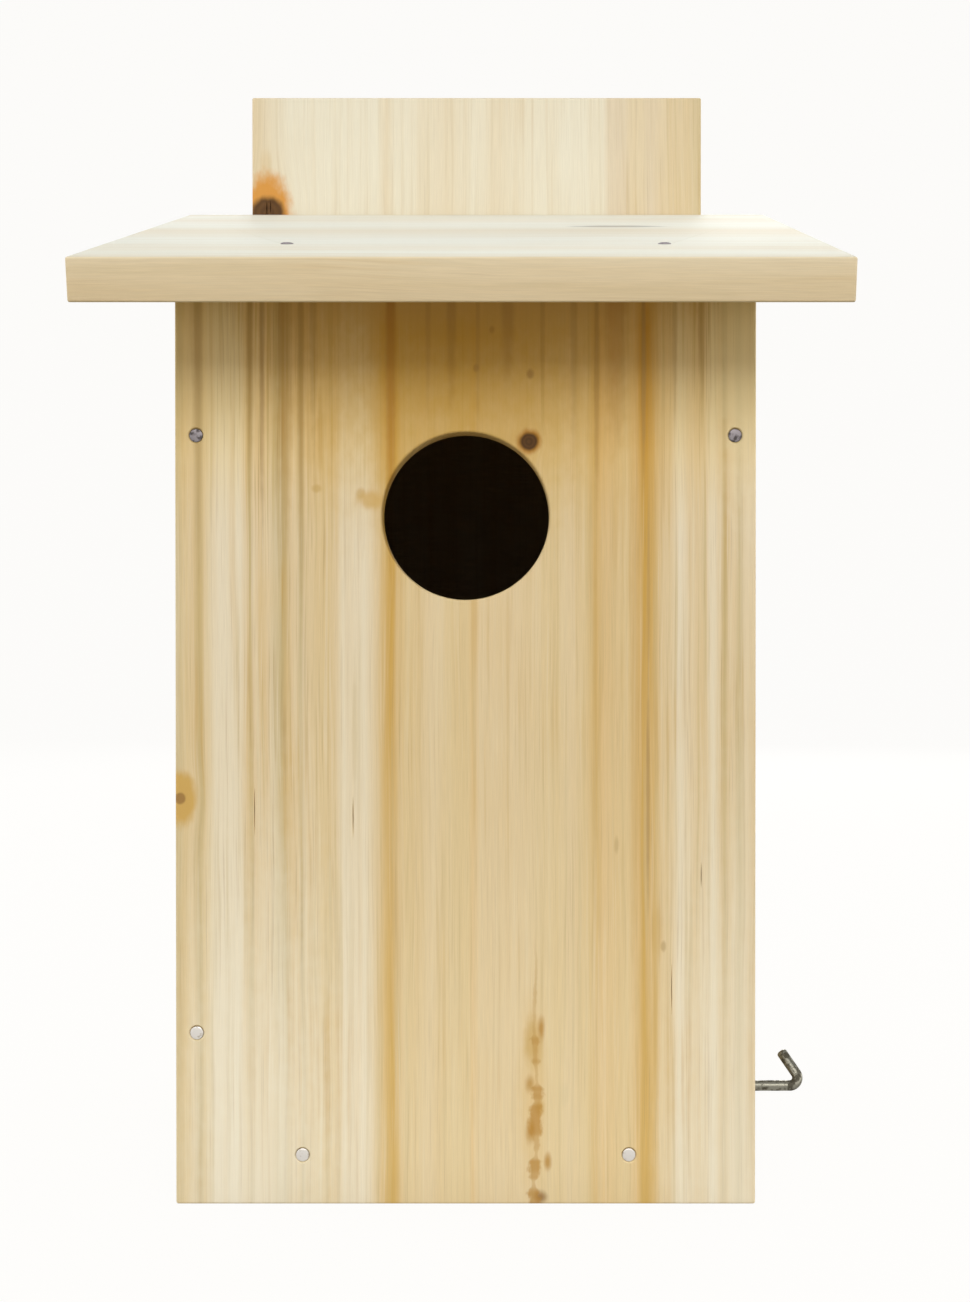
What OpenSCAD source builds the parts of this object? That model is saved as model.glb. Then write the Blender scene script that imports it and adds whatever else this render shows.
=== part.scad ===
// Side-opening nest box: six boards, one of which is a clean-out door that turns on
// two nails, and a wire hook that holds the door shut.
// Millimetres, +Z up, front towards -Y. The origin is under the middle of the whole
// box, on the surface that it stands on.

/* [Boards] */
// Thickness of every board
board_t = 9.5; // [8:0.5:12]
// Width of the body, across the front panel
body_w = 132; // [128:1:150]
// Width of the mounting board at the back
back_w = 130; // [128:1:150]
// Height of the mounting board, which stands above the roof
back_h = 285; // [280:1:320]
// Depth of the nest cavity, from the front panel to the mounting board
cavity_d = 120.25; // [110:0.25:130]

/* [Roof] */
// Width of the roof board
roof_w = 166.5; // [160:0.5:190]
// How far the roof reaches out in front of the front panel
roof_eave = 35.25; // [30:0.25:45]
// Slope of the roof, falling towards the front
roof_pitch = 14.3; // [10:0.1:16]
// Height of the roof's upper front edge
roof_edge_z = 209.1; // [205:0.1:215]
// Ventilation gap between the side boards and the roof
vent_gap = 6; // [4:0.5:8]

/* [Entrance] */
// Diameter of the entrance hole
hole_d = 38.1; // [28:0.1:45]
// Height of the entrance hole's centre
hole_z = 156.7; // [150:0.1:160]
// Number of climbing kerfs below the hole, on the inside
kerf_count = 5; // [1:1:6]
// Depth of a climbing kerf
kerf_depth = 1.6; // [1:0.1:2.5]

/* [Floor] */
// How far the floor board sits above the lower ends of the walls
floor_recess = 6.4; // [4:0.2:10]
// Corner clipped off the floor board, so that water drains
floor_clip = 10; // [6:1:14]

/* [Door] */
// Height of the two nails that the door turns on
pivot_z = 175; // [165:1:180]
// Free gap between the door and the boards in front of it and behind it
door_gap = 0.5; // [0.4:0.1:1]
// Free gap under the door
door_lift = 1.5; // [1:0.5:4]

/* [Hook] */
// Diameter of the hook's wire
hook_d = 2.4; // [2:0.1:3]
// Height of the hook's shank
hook_z = 26; // [22:0.1:40]
// Straight stretch of the shank outside the wood
hook_reach = 8.4; // [6:0.1:12]
// Length of the arm beyond the bend
hook_arm = 6; // [4:0.1:6.2]
// Radius of the bend, along the middle of the wire
hook_bend_r = 1.9; // [1.6:0.1:2.4]
// Turn of the bend between shank and arm
hook_bend = 122; // [90:1:124]
// Lean of the arm towards the back, from upright
hook_lean = 26; // [0:1:28]

/* [Nails] */
// Length of a nail
nail_len = 28; // [24:1:32]
// Diameter of a nail's shank
nail_d = 1.8; // [1.4:0.1:2]
// Diameter of a nail's head
nail_head_d = 3; // [2.6:0.1:3.4]

/* [Hidden] */
$fn = 64;

driven_fit = 0.03;   // radial gap round a driven nail
pivot_fit = 0.08;    // radial gap round a nail that the door turns on
hook_fit = 0.06;     // radial gap round the hook's screw
nail_sink = 0.1;     // a nail's head below the wood's face
slant_sink = -0.2;   // the same for the upright nails in the sloping roof, which stand proud
rear_sink = 0.5;     // the same for the slanting nails in the mounting board
overcut = 1;         // how far a cut starts outside the wood

half_w = body_w / 2;
side_in = half_w - board_t;
total_d = roof_eave + board_t + cavity_d + board_t;
eave_y = -total_d / 2;            // the roof's upper front edge
front_y = eave_y + roof_eave;     // the front panel's outer face
cavity_y = front_y + board_t;     // the front end of the nest cavity
back_y = cavity_y + cavity_d;     // the rear end of the nest cavity
rear_y = back_y + board_t;        // the mounting board's rear face
front_mid_y = front_y + board_t / 2;
side_mid_x = half_w - board_t / 2;
floor_mid_z = floor_recess + board_t / 2;
roof_plumb = board_t / cos(roof_pitch);   // the roof's thickness, measured upright

floor_nail_x = 37.2;
floor_nail_y = [-12, 48];
lower_nail_z = 39;
roof_nail_x = [-41, 45.5];
roof_end_nail_x = 40;
screw_len = 14;                   // the hook's length inside the front panel
screw_tip = 3;                    // the pointed part of that length
tip_chamfer = 0.5;                // the cut on the end of the hook's arm
kerf_w = 76;
kerf_h = 1.8;
kerf_top_z = hole_z - hole_d / 2 - 14;
kerf_pitch = 12;

// Height of the roof's top face at depth y
function roof_top(y) = roof_edge_z + (y - eave_y) * tan(roof_pitch);
// Height of the roof's underside at depth y
function roof_under(y) = roof_top(y) - roof_plumb;

// Ways to turn a nail that points down
FROM_TOP = [0, 0, 0];
FROM_FRONT = [90, 0, 0];
FROM_LEFT = [0, -90, 0];
FROM_BACK = [-90, 0, 0];
ALONG_ROOF = [-90 + roof_pitch, 0, 0];

head_front_y = front_y + nail_sink;
head_rear_y = rear_y - nail_sink;
head_left_x = -half_w + nail_sink;
head_roof_z = roof_top(front_mid_y) - slant_sink;
head_roof_end_z = roof_top(back_y) - roof_plumb / 2 + (board_t - rear_sink) * tan(roof_pitch);

// Every nail: its name, the middle of its head, its direction, and the two boards it joins
NAILS = [
    ["nail_front_left_upper", [-side_mid_x, head_front_y, pivot_z], FROM_FRONT,
        ["front_panel", "left_side"]],
    ["nail_front_left_lower", [-side_mid_x, head_front_y, lower_nail_z], FROM_FRONT,
        ["front_panel", "left_side"]],
    ["nail_front_floor_left", [-floor_nail_x, head_front_y, floor_mid_z], FROM_FRONT,
        ["front_panel", "floor_board"]],
    ["nail_front_floor_right", [floor_nail_x, head_front_y, floor_mid_z], FROM_FRONT,
        ["front_panel", "floor_board"]],
    ["nail_back_left_upper", [-side_mid_x, head_rear_y, pivot_z], FROM_BACK,
        ["mounting_board", "left_side"]],
    ["nail_back_left_lower", [-side_mid_x, head_rear_y, lower_nail_z], FROM_BACK,
        ["mounting_board", "left_side"]],
    ["nail_back_floor_left", [-floor_nail_x, head_rear_y, floor_mid_z], FROM_BACK,
        ["mounting_board", "floor_board"]],
    ["nail_back_floor_right", [floor_nail_x, head_rear_y, floor_mid_z], FROM_BACK,
        ["mounting_board", "floor_board"]],
    ["nail_back_roof_left", [-roof_end_nail_x, rear_y - rear_sink, head_roof_end_z], ALONG_ROOF,
        ["mounting_board", "roof_board"]],
    ["nail_back_roof_right", [roof_end_nail_x, rear_y - rear_sink, head_roof_end_z], ALONG_ROOF,
        ["mounting_board", "roof_board"]],
    ["nail_roof_front_left", [roof_nail_x[0], front_mid_y, head_roof_z], FROM_TOP,
        ["roof_board", "front_panel"]],
    ["nail_roof_front_right", [roof_nail_x[1], front_mid_y, head_roof_z], FROM_TOP,
        ["roof_board", "front_panel"]],
    ["nail_side_floor_front", [head_left_x, floor_nail_y[0], floor_mid_z], FROM_LEFT,
        ["left_side", "floor_board"]],
    ["nail_side_floor_rear", [head_left_x, floor_nail_y[1], floor_mid_z], FROM_LEFT,
        ["left_side", "floor_board"]],
    ["pivot_nail_front", [side_mid_x, head_front_y, pivot_z], FROM_FRONT,
        ["front_panel", "side_door"]],
    ["pivot_nail_rear", [side_mid_x, head_rear_y, pivot_z], FROM_BACK,
        ["mounting_board", "side_door"]],
];

// ---- Shapes that repeat ----

// An outline drawn as [depth, height] pairs, made w wide and centred on x
module across(w, x = 0) {
    translate([x - w / 2, 0, 0])
        rotate([90, 0, 90])
            linear_extrude(w) children();
}

// A nail that points down, with the middle of its flat head at the origin. fit widens it
// all round and open raises its head, which gives the hole that a nail sits in.
module nail_shape(fit = 0, open = 0) {
    head_r = nail_head_d / 2 + fit;
    shank_r = nail_d / 2 + fit;
    end = -nail_len - fit;
    rotate_extrude()
        polygon([
            [0, open], [head_r, open], [head_r, -0.5 - fit], [shank_r, -1.2 - fit],
            [shank_r, end + 2.5], [0, end]
        ]);
}

// The holes that the nails leave in one board
module nail_holes(board, fit = driven_fit) {
    for (nail = NAILS)
        if (nail[3][0] == board || nail[3][1] == board)
            translate(nail[1]) rotate(nail[2]) nail_shape(fit, overcut);
}

// Outline of a side board, shortened by gap at both ends and by lift from below
module side_outline(gap = 0, lift = 0) {
    near = cavity_y + gap;
    far = back_y - gap;
    polygon([
        [near, lift], [far, lift],
        [far, roof_under(far) - vent_gap], [near, roof_under(near) - vent_gap]
    ]);
}

// The hook's screw, from the wood's face inwards along -X
module hook_screw(fit = 0) {
    screw_r = hook_d / 2 + fit;
    rotate([0, -90, 0])
        rotate_extrude()
            polygon([
                [0, 0], [screw_r, 0], [screw_r, screw_len - screw_tip + fit],
                [0, screw_len + fit]
            ]);
}

// ---- Boards ----

module front_panel() {
    color("burlywood")
        difference() {
            across(body_w)
                polygon([
                    [front_y, 0], [cavity_y, 0],
                    [cavity_y, roof_under(cavity_y)], [front_y, roof_under(front_y)]
                ]);
            translate([0, cavity_y + overcut, hole_z])
                rotate([90, 0, 0])
                    cylinder(h = board_t + 2 * overcut, d = hole_d);
            for (i = [0 : kerf_count - 1])
                translate([-kerf_w / 2, cavity_y - kerf_depth, kerf_top_z - i * kerf_pitch])
                    cube([kerf_w, kerf_depth + overcut, kerf_h]);
            nail_holes("front_panel");
            translate([half_w, front_mid_y, hook_z])
                hook_screw(hook_fit);
        }
}

module mounting_board() {
    color("wheat")
        difference() {
            translate([-back_w / 2, back_y, 0])
                cube([back_w, board_t, back_h]);
            nail_holes("mounting_board");
        }
}

module left_side() {
    color("navajowhite")
        difference() {
            across(board_t, -side_mid_x) side_outline();
            nail_holes("left_side");
        }
}

module side_door() {
    color("navajowhite")
        difference() {
            across(board_t, side_mid_x) side_outline(door_gap, door_lift);
            nail_holes("side_door", pivot_fit);
        }
}

// The floor stays clear of the door by door_gap, and its corners are clipped
module floor_board() {
    left_x = -side_in;
    right_x = side_in - door_gap;
    color("tan")
        difference() {
            translate([0, 0, floor_recess])
                linear_extrude(board_t)
                    polygon([
                        [left_x + floor_clip, cavity_y], [right_x - floor_clip, cavity_y],
                        [right_x, cavity_y + floor_clip], [right_x, back_y - floor_clip],
                        [right_x - floor_clip, back_y], [left_x + floor_clip, back_y],
                        [left_x, back_y - floor_clip], [left_x, cavity_y + floor_clip]
                    ]);
            nail_holes("floor_board");
        }
}

// The roof's front edge is cut square to its slope, and its rear end upright
module roof_board() {
    color("oldlace")
        difference() {
            across(roof_w)
                polygon([
                    [eave_y, roof_edge_z],
                    [eave_y + board_t * sin(roof_pitch), roof_edge_z - board_t * cos(roof_pitch)],
                    [back_y, roof_under(back_y)],
                    [back_y, roof_top(back_y)]
                ]);
            nail_holes("roof_board");
        }
}

// ---- Fittings ----

// A screw that runs on as a bent wire: shank, bend and arm, drawn flat and then stood up
module latch_hook() {
    wire_r = hook_d / 2;
    color("dimgray")
        translate([half_w, front_mid_y, hook_z])
            rotate([90 - hook_lean, 0, 0]) {
                hook_screw();
                rotate([0, 90, 0])
                    cylinder(h = hook_reach, r = wire_r);
                translate([hook_reach, hook_bend_r, 0]) {
                    rotate(-90)
                        rotate_extrude(angle = hook_bend)
                            translate([hook_bend_r, 0]) circle(wire_r);
                    rotate(hook_bend - 90)
                        translate([hook_bend_r, 0, 0])
                            rotate([-90, 0, 0])
                                rotate_extrude()
                                    polygon([
                                        [0, 0], [wire_r, 0], [wire_r, hook_arm - tip_chamfer],
                                        [wire_r - tip_chamfer, hook_arm], [0, hook_arm]
                                    ]);
                }
            }
}

front_panel();
mounting_board();
left_side();
side_door();
floor_board();
roof_board();
latch_hook();
for (nail = NAILS)
    color("silver") translate(nail[1]) rotate(nail[2]) nail_shape();
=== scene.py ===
"""Visual model of a side-opening nest box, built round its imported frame.

Every board is planed, unfinished pine: a blank is sawn to the frame's sizes, its edges are eased,
and then it is drilled for the nails and kerfed. The nails and the hook are steel wire.
"""

import logging
import math
from dataclasses import dataclass, field
from enum import Enum

import bmesh
import bpy
from mathutils import Matrix, Vector


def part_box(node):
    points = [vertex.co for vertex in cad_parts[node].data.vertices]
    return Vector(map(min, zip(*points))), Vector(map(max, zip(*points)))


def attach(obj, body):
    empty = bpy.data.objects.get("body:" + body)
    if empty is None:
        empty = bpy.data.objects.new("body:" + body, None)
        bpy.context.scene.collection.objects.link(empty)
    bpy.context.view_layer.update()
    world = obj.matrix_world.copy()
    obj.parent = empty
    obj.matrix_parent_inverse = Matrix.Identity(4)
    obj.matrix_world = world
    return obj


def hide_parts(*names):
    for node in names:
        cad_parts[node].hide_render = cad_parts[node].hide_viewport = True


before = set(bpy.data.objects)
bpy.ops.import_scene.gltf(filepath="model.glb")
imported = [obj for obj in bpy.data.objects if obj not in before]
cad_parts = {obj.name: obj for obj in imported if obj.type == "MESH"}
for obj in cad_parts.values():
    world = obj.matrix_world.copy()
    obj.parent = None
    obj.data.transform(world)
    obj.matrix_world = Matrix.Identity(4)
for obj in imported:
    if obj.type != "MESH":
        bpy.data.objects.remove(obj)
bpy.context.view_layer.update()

MM = 0.001
WELD = 0.0005 * MM  # points closer than this are one point
SLIM = 0.45 * MM  # a face with less area for its outline is part of a curve
SHARP_EDGE = math.radians(40)  # edges that turn further than this stay sharp
BOARD_THICKNESS = 9.5 * MM
LATHE_STEPS = 48  # steps round a nail
DRILL_STEPS = 32  # steps round a nail's or screw's hole
BEND_STEPS = 16  # steps along a bend of the stage
STAGE_STEPS = 96  # steps round the stage
ENTRANCE_STEPS = 128  # steps round the entrance hole
LIP_STEPS = 6  # steps across the hole's eased lips
EDGE_STEPS = 4  # facets across a board's eased edge
CRACK_STEPS = 16  # steps round the wedge that cuts a crack
HOUSE = "house"
DOOR = "door"
HOOK = "hook"

log = logging.getLogger("nest_box")

Colour = tuple[float, float, float, float]
Point = tuple[float, float]


# ---------------------------------------------------------------- shader maths


def display(red: float, green: float, blue: float) -> Colour:
    """Turns a colour as seen on a display into the linear colour that a shader takes.

    Args:
        red: Red, from 0 to 255.
        green: Green, from 0 to 255.
        blue: Blue, from 0 to 255.

    Returns:
        The linear colour, with an alpha of 1.
    """
    shares = [channel / 255 for channel in (red, green, blue)]
    linear = [s / 12.92 if s <= 0.04045 else ((s + 0.055) / 1.055) ** 2.4 for s in shares]
    return (linear[0], linear[1], linear[2], 1.0)


class Number:
    """A number that a shader works out at each point of a surface."""

    def __init__(self, shader: "Shader", socket: bpy.types.NodeSocket) -> None:
        """Wraps an output socket.

        Args:
            shader: The shader that the socket belongs to.
            socket: The output socket that carries the number.
        """
        self.shader = shader
        self.socket = socket

    def __add__(self, other: "Number | float") -> "Number":
        """Adds."""
        return self.shader.maths("ADD", self, other)

    def __radd__(self, other: float) -> "Number":
        """Adds, with the plain number first."""
        return self.shader.maths("ADD", other, self)

    def __sub__(self, other: "Number | float") -> "Number":
        """Subtracts."""
        return self.shader.maths("SUBTRACT", self, other)

    def __rsub__(self, other: float) -> "Number":
        """Subtracts from a plain number."""
        return self.shader.maths("SUBTRACT", other, self)

    def __mul__(self, other: "Number | float") -> "Number":
        """Multiplies."""
        return self.shader.maths("MULTIPLY", self, other)

    def __rmul__(self, other: float) -> "Number":
        """Multiplies, with the plain number first."""
        return self.shader.maths("MULTIPLY", other, self)

    def __truediv__(self, other: "Number | float") -> "Number":
        """Divides."""
        return self.shader.maths("DIVIDE", self, other)

    def __pow__(self, other: float) -> "Number":
        """Raises to a power."""
        return self.shader.maths("POWER", self, other)

    def __abs__(self) -> "Number":
        """Drops the sign."""
        return self.shader.maths("ABSOLUTE", self)


Socket = bpy.types.NodeSocket
Input = Number | Socket | float | tuple


class Shader:
    """The nodes of one material, or of the light that fills the room."""

    def __init__(self, owner: bpy.types.Material | bpy.types.World) -> None:
        """Starts without nodes.

        Args:
            owner: The material or world that the nodes are for.
        """
        self.owner = owner
        owner.use_nodes = True
        self.tree = owner.node_tree
        self.tree.nodes.clear()

    def node(self, kind: str, settings: dict | None = None, inputs: dict | None = None) -> bpy.types.Node:
        """Adds one node.

        Args:
            kind: The node's type, such as ShaderNodeMath.
            settings: Values of the node's own settings. The key stops holds a ramp's stops.
            inputs: Values or links of its input sockets, by name or index.

        Returns:
            The new node.
        """
        made = self.tree.nodes.new(kind)
        for key, value in (settings or {}).items():
            if key == "stops":
                self._set_stops(made.color_ramp, value)
            else:
                setattr(made, key, value)
        for key, value in (inputs or {}).items():
            self._feed(made.inputs[key], value)
        return made

    @staticmethod
    def _set_stops(ramp: bpy.types.ColorRamp, stops: list[tuple[float, Colour]]) -> None:
        """Gives a colour ramp its stops.

        Args:
            ramp: The ramp.
            stops: Positions from 0 to 1 with their colours, in rising order.
        """
        while len(ramp.elements) < len(stops):
            ramp.elements.new(1.0)
        for element, (position, colour) in zip(ramp.elements, stops):
            element.position = position
            element.color = colour

    def _feed(self, socket: bpy.types.NodeSocket, value: Input) -> None:
        """Links or sets one input socket.

        Args:
            socket: The input socket.
            value: A number, an output socket or a plain value.
        """
        if isinstance(value, Number):
            self.tree.links.new(value.socket, socket)
        elif isinstance(value, bpy.types.NodeSocket):
            self.tree.links.new(value, socket)
        else:
            socket.default_value = value

    def maths(self, operation: str, *values: Number | float) -> Number:
        """Adds a Math node.

        Args:
            operation: The node's operation.
            *values: Its inputs, in order.

        Returns:
            The node's result.
        """
        made = self.node("ShaderNodeMath", {"operation": operation}, dict(enumerate(values)))
        return Number(self, made.outputs[0])

    def larger(self, first: Number, second: Number) -> Number:
        """Gives the larger of two numbers."""
        return self.maths("MAXIMUM", first, second)

    def position(self) -> tuple[Number, Number, Number]:
        """Gives the place on the piece in millimetres, as x, y and z."""
        place = self.node("ShaderNodeTexCoord").outputs["Object"]
        apart = self.node("ShaderNodeSeparateXYZ", {}, {0: place})
        return tuple(Number(self, socket) * (1 / MM) for socket in apart.outputs)

    def facing(self, axis: int) -> Number:
        """Gives how squarely the surface faces along an axis of the piece, from 0 to 1.

        Args:
            axis: 0, 1 or 2 for X, Y or Z.

        Returns:
            The size of the normal's part along that axis.
        """
        normal = self.node("ShaderNodeTexCoord").outputs["Normal"]
        apart = self.node("ShaderNodeSeparateXYZ", {}, {0: normal})
        return abs(Number(self, apart.outputs[axis]))

    def noise(self, place: tuple, detail: float = 2.0, roughness: float = 0.5) -> Number:
        """Adds smooth noise of about 0 to 1.

        Args:
            place: Three numbers, already scaled so that a feature is about 1 across.
            detail: How many finer layers are added.
            roughness: How strong the finer layers are.

        Returns:
            The noise.
        """
        joined = self.node("ShaderNodeCombineXYZ", {}, dict(enumerate(place)))
        made = self.node(
            "ShaderNodeTexNoise",
            {"noise_dimensions": "3D"},
            {"Vector": joined.outputs[0], "Scale": 1.0, "Detail": detail, "Roughness": roughness},
        )
        return Number(self, made.outputs[0])

    def step(self, value: Number, start: float, end: float, low: float = 0.0, high: float = 1.0) -> Number:
        """Goes smoothly from low to high as value goes from start to end.

        Args:
            value: The driving number.
            start: Where the change starts.
            end: Where it ends. It may be below start.
            low: The result at start.
            high: The result at end.

        Returns:
            The smooth step.
        """
        made = self.node(
            "ShaderNodeMapRange",
            {"interpolation_type": "SMOOTHSTEP", "clamp": True},
            {"Value": value, "From Min": start, "From Max": end, "To Min": low, "To Max": high},
        )
        return Number(self, made.outputs[0])

    def mix(self, share: Number | float, first: Input, second: Input, way: str = "MIX") -> Socket:
        """Blends two colours.

        Args:
            share: How much of the second colour is used. It may pass 1.
            first: The first colour.
            second: The second colour.
            way: The blend type.

        Returns:
            The blended colour.
        """
        settings = {"data_type": "RGBA", "blend_type": way, "clamp_factor": False}
        return self.node("ShaderNodeMix", settings, {0: share, 6: first, 7: second}).outputs[2]

    def tinted(self, colour: Input, tint: tuple[float, ...], share: Number | float) -> Socket:
        """Multiplies a colour.

        Args:
            colour: The colour.
            tint: What it is multiplied by.
            share: How much of the tint is used.

        Returns:
            The tinted colour.
        """
        return self.mix(share, colour, tuple(tint) + (1.0,), "MULTIPLY")

    def bump(self, height: Number, strength: float, depth: float) -> Socket:
        """Makes a relief.

        Args:
            height: The height, from 0 to 1.
            strength: How strongly it shows.
            depth: What a height of 1 stands for, in millimetres.

        Returns:
            The bent normal.
        """
        inputs = {"Height": height, "Strength": strength, "Distance": depth * MM}
        return self.node("ShaderNodeBump", {}, inputs).outputs[0]

    def surface(self, inputs: dict) -> bpy.types.Material:
        """Ends the material with its surface shader.

        Args:
            inputs: Values or links of the Principled shader's sockets.

        Returns:
            The finished material.
        """
        body = self.node("ShaderNodeBsdfPrincipled", {}, inputs)
        self.node("ShaderNodeOutputMaterial", {}, {0: body.outputs[0]})
        return self.owner


# ---------------------------------------------------------------- wood


RAMP_STOPS = 32  # the most that one colour ramp holds
PAINTED_CAVITY_SHADE = (0.50, 0.42, 0.33)  # painted shade inside the nest cavity, whose walls are also left rough from the saw


class Tone(Enum):
    """Colours of bare pine, as they look in even light."""

    CHALK = (238, 230, 208)
    PALE = (233, 219, 190)
    CREAM = (229, 210, 174)
    SAND = (225, 203, 161)
    STRAW = (223, 200, 153)
    HONEY = (223, 194, 142)
    AMBER = (215, 183, 122)
    RUST = (207, 168, 92)
    ROSE = (228, 211, 182)
    OLIVE = (212, 193, 150)
    DRAB = (201, 179, 129)
    UMBER = (172, 140, 88)
    SMOKE = (168, 156, 134)
    GOLD = (196, 158, 84)
    RESIN = (178, 128, 48)
    # painted shade: the gold that the front is painted under the roof's shadow
    PAINTED_EAVES_SHADE = (200, 160, 50)
    BROWN = (136, 96, 50)
    BARK = (46, 24, 8)
    ORANGE = (218, 152, 64)

    @property
    def colour(self) -> Colour:
        """The tone as a linear colour."""
        return display(*self.value)


class Grain(Enum):
    """How a board's grain lies: its across, along and through directions."""

    FACE_ON = "across X, along Z, through Y"
    SIDE_ON = "across Y, along Z, through X"
    LEVEL = "across Y, along X, through Z"
    SLOPING = "across the roof's slope, along X, through the roof"

    @property
    def end_axis(self) -> int:
        """The axis that the cut ends face along: 0 for X, 2 for Z."""
        return 2 if self in (Grain.FACE_ON, Grain.SIDE_ON) else 0

    def sort(self, x: "Number | float", y: "Number | float", z: "Number | float", pitch: float) -> tuple:
        """Sorts a place into the grain's own directions.

        Args:
            x: The place's x.
            y: The place's y.
            z: The place's z.
            pitch: The roof's slope in radians.

        Returns:
            How far it lies across, along and through the grain.
        """
        if self is Grain.FACE_ON:
            return x, z, y
        if self is Grain.SIDE_ON:
            return y, z, x
        if self is Grain.LEVEL:
            return y, x, z
        slope, rise = math.cos(pitch), math.sin(pitch)
        return y * slope + z * rise, x, z * slope - y * rise


@dataclass(frozen=True)
class Mark:
    """An oval mark in the wood, in millimetres.

    Attributes:
        across: Its middle across the grain.
        along: Its middle along the grain.
        half_width: Half its width across the grain.
        half_length: Half its length along the grain.
        strength: How much of its tone shows, from 0 to 1.
        tone: Its colour.
        softness: The share of its radius over which it fades.
    """

    across: float
    along: float
    half_width: float
    half_length: float
    strength: float
    tone: Tone
    softness: float = 0.7


@dataclass(frozen=True)
class Knot:
    """A round knot that the grain flows round, in millimetres.

    Attributes:
        across: Its middle across the grain.
        along: Its middle along the grain.
        radius: Radius of its dark core.
        halo: Radius of the stained wood round it, across the grain.
        stretch: How much longer the halo is along the grain.
        core: Colour of the core.
        stain: Colour of the stained wood.
        strength: How much of the core's colour shows.
    """

    across: float
    along: float
    radius: float
    halo: float
    stretch: float
    core: Tone
    stain: Tone
    strength: float = 0.9


@dataclass(frozen=True)
class PaintedLightWash:
    """A painted change of light or shade that sets in gradually along the grain.

    Attributes:
        start: Where it sets in, in millimetres.
        end: Where it is full. It may be below start.
        tint: What it multiplies the colour by.
    """

    start: float
    end: float
    tint: tuple[float, float, float]


@dataclass(frozen=True)
class Cavity:
    """The nest cavity, whose walls are left rough from the saw and darkened with painted shade. All sizes are
    in millimetres.

    Attributes:
        half_width: Half its width.
        front: Its front end in Y.
        back: Its rear end in Y.
        floor: Its lower end in Z.
        ceiling: Height of the roof's underside at y = 0.
        slope: Rise of the roof for each millimetre of depth.
        skin: How deep the roughness and the painted shade reach into the walls.
    """

    half_width: float
    front: float
    back: float
    floor: float
    ceiling: float
    slope: float
    skin: float = 0.35

    def mask(self, shader: "Shader", x: "Number", y: "Number", z: "Number") -> "Number":
        """Masks the walls of the cavity.

        Args:
            shader: The shader to add to.
            x: The place's x.
            y: The place's y.
            z: The place's z.

        Returns:
            1 on the walls and 0 outside.
        """
        depth = self.half_width - abs(x)
        for reach in (y - self.front, self.back - y, z - self.floor, y * self.slope - z + self.ceiling):
            depth = shader.maths("MINIMUM", depth, reach)
        return shader.step(depth, -self.skin, -self.skin / 3)


@dataclass(frozen=True)
class ResinTrack:
    """A wavering brown track of resin that runs along the grain, in millimetres.

    Attributes:
        across: Its middle across the grain.
        start: Where it starts along the grain, which is its upper end.
        half_width: Half its width.
        sway: How far it wavers to each side.
    """

    across: float
    start: float
    half_width: float
    sway: float


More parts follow.
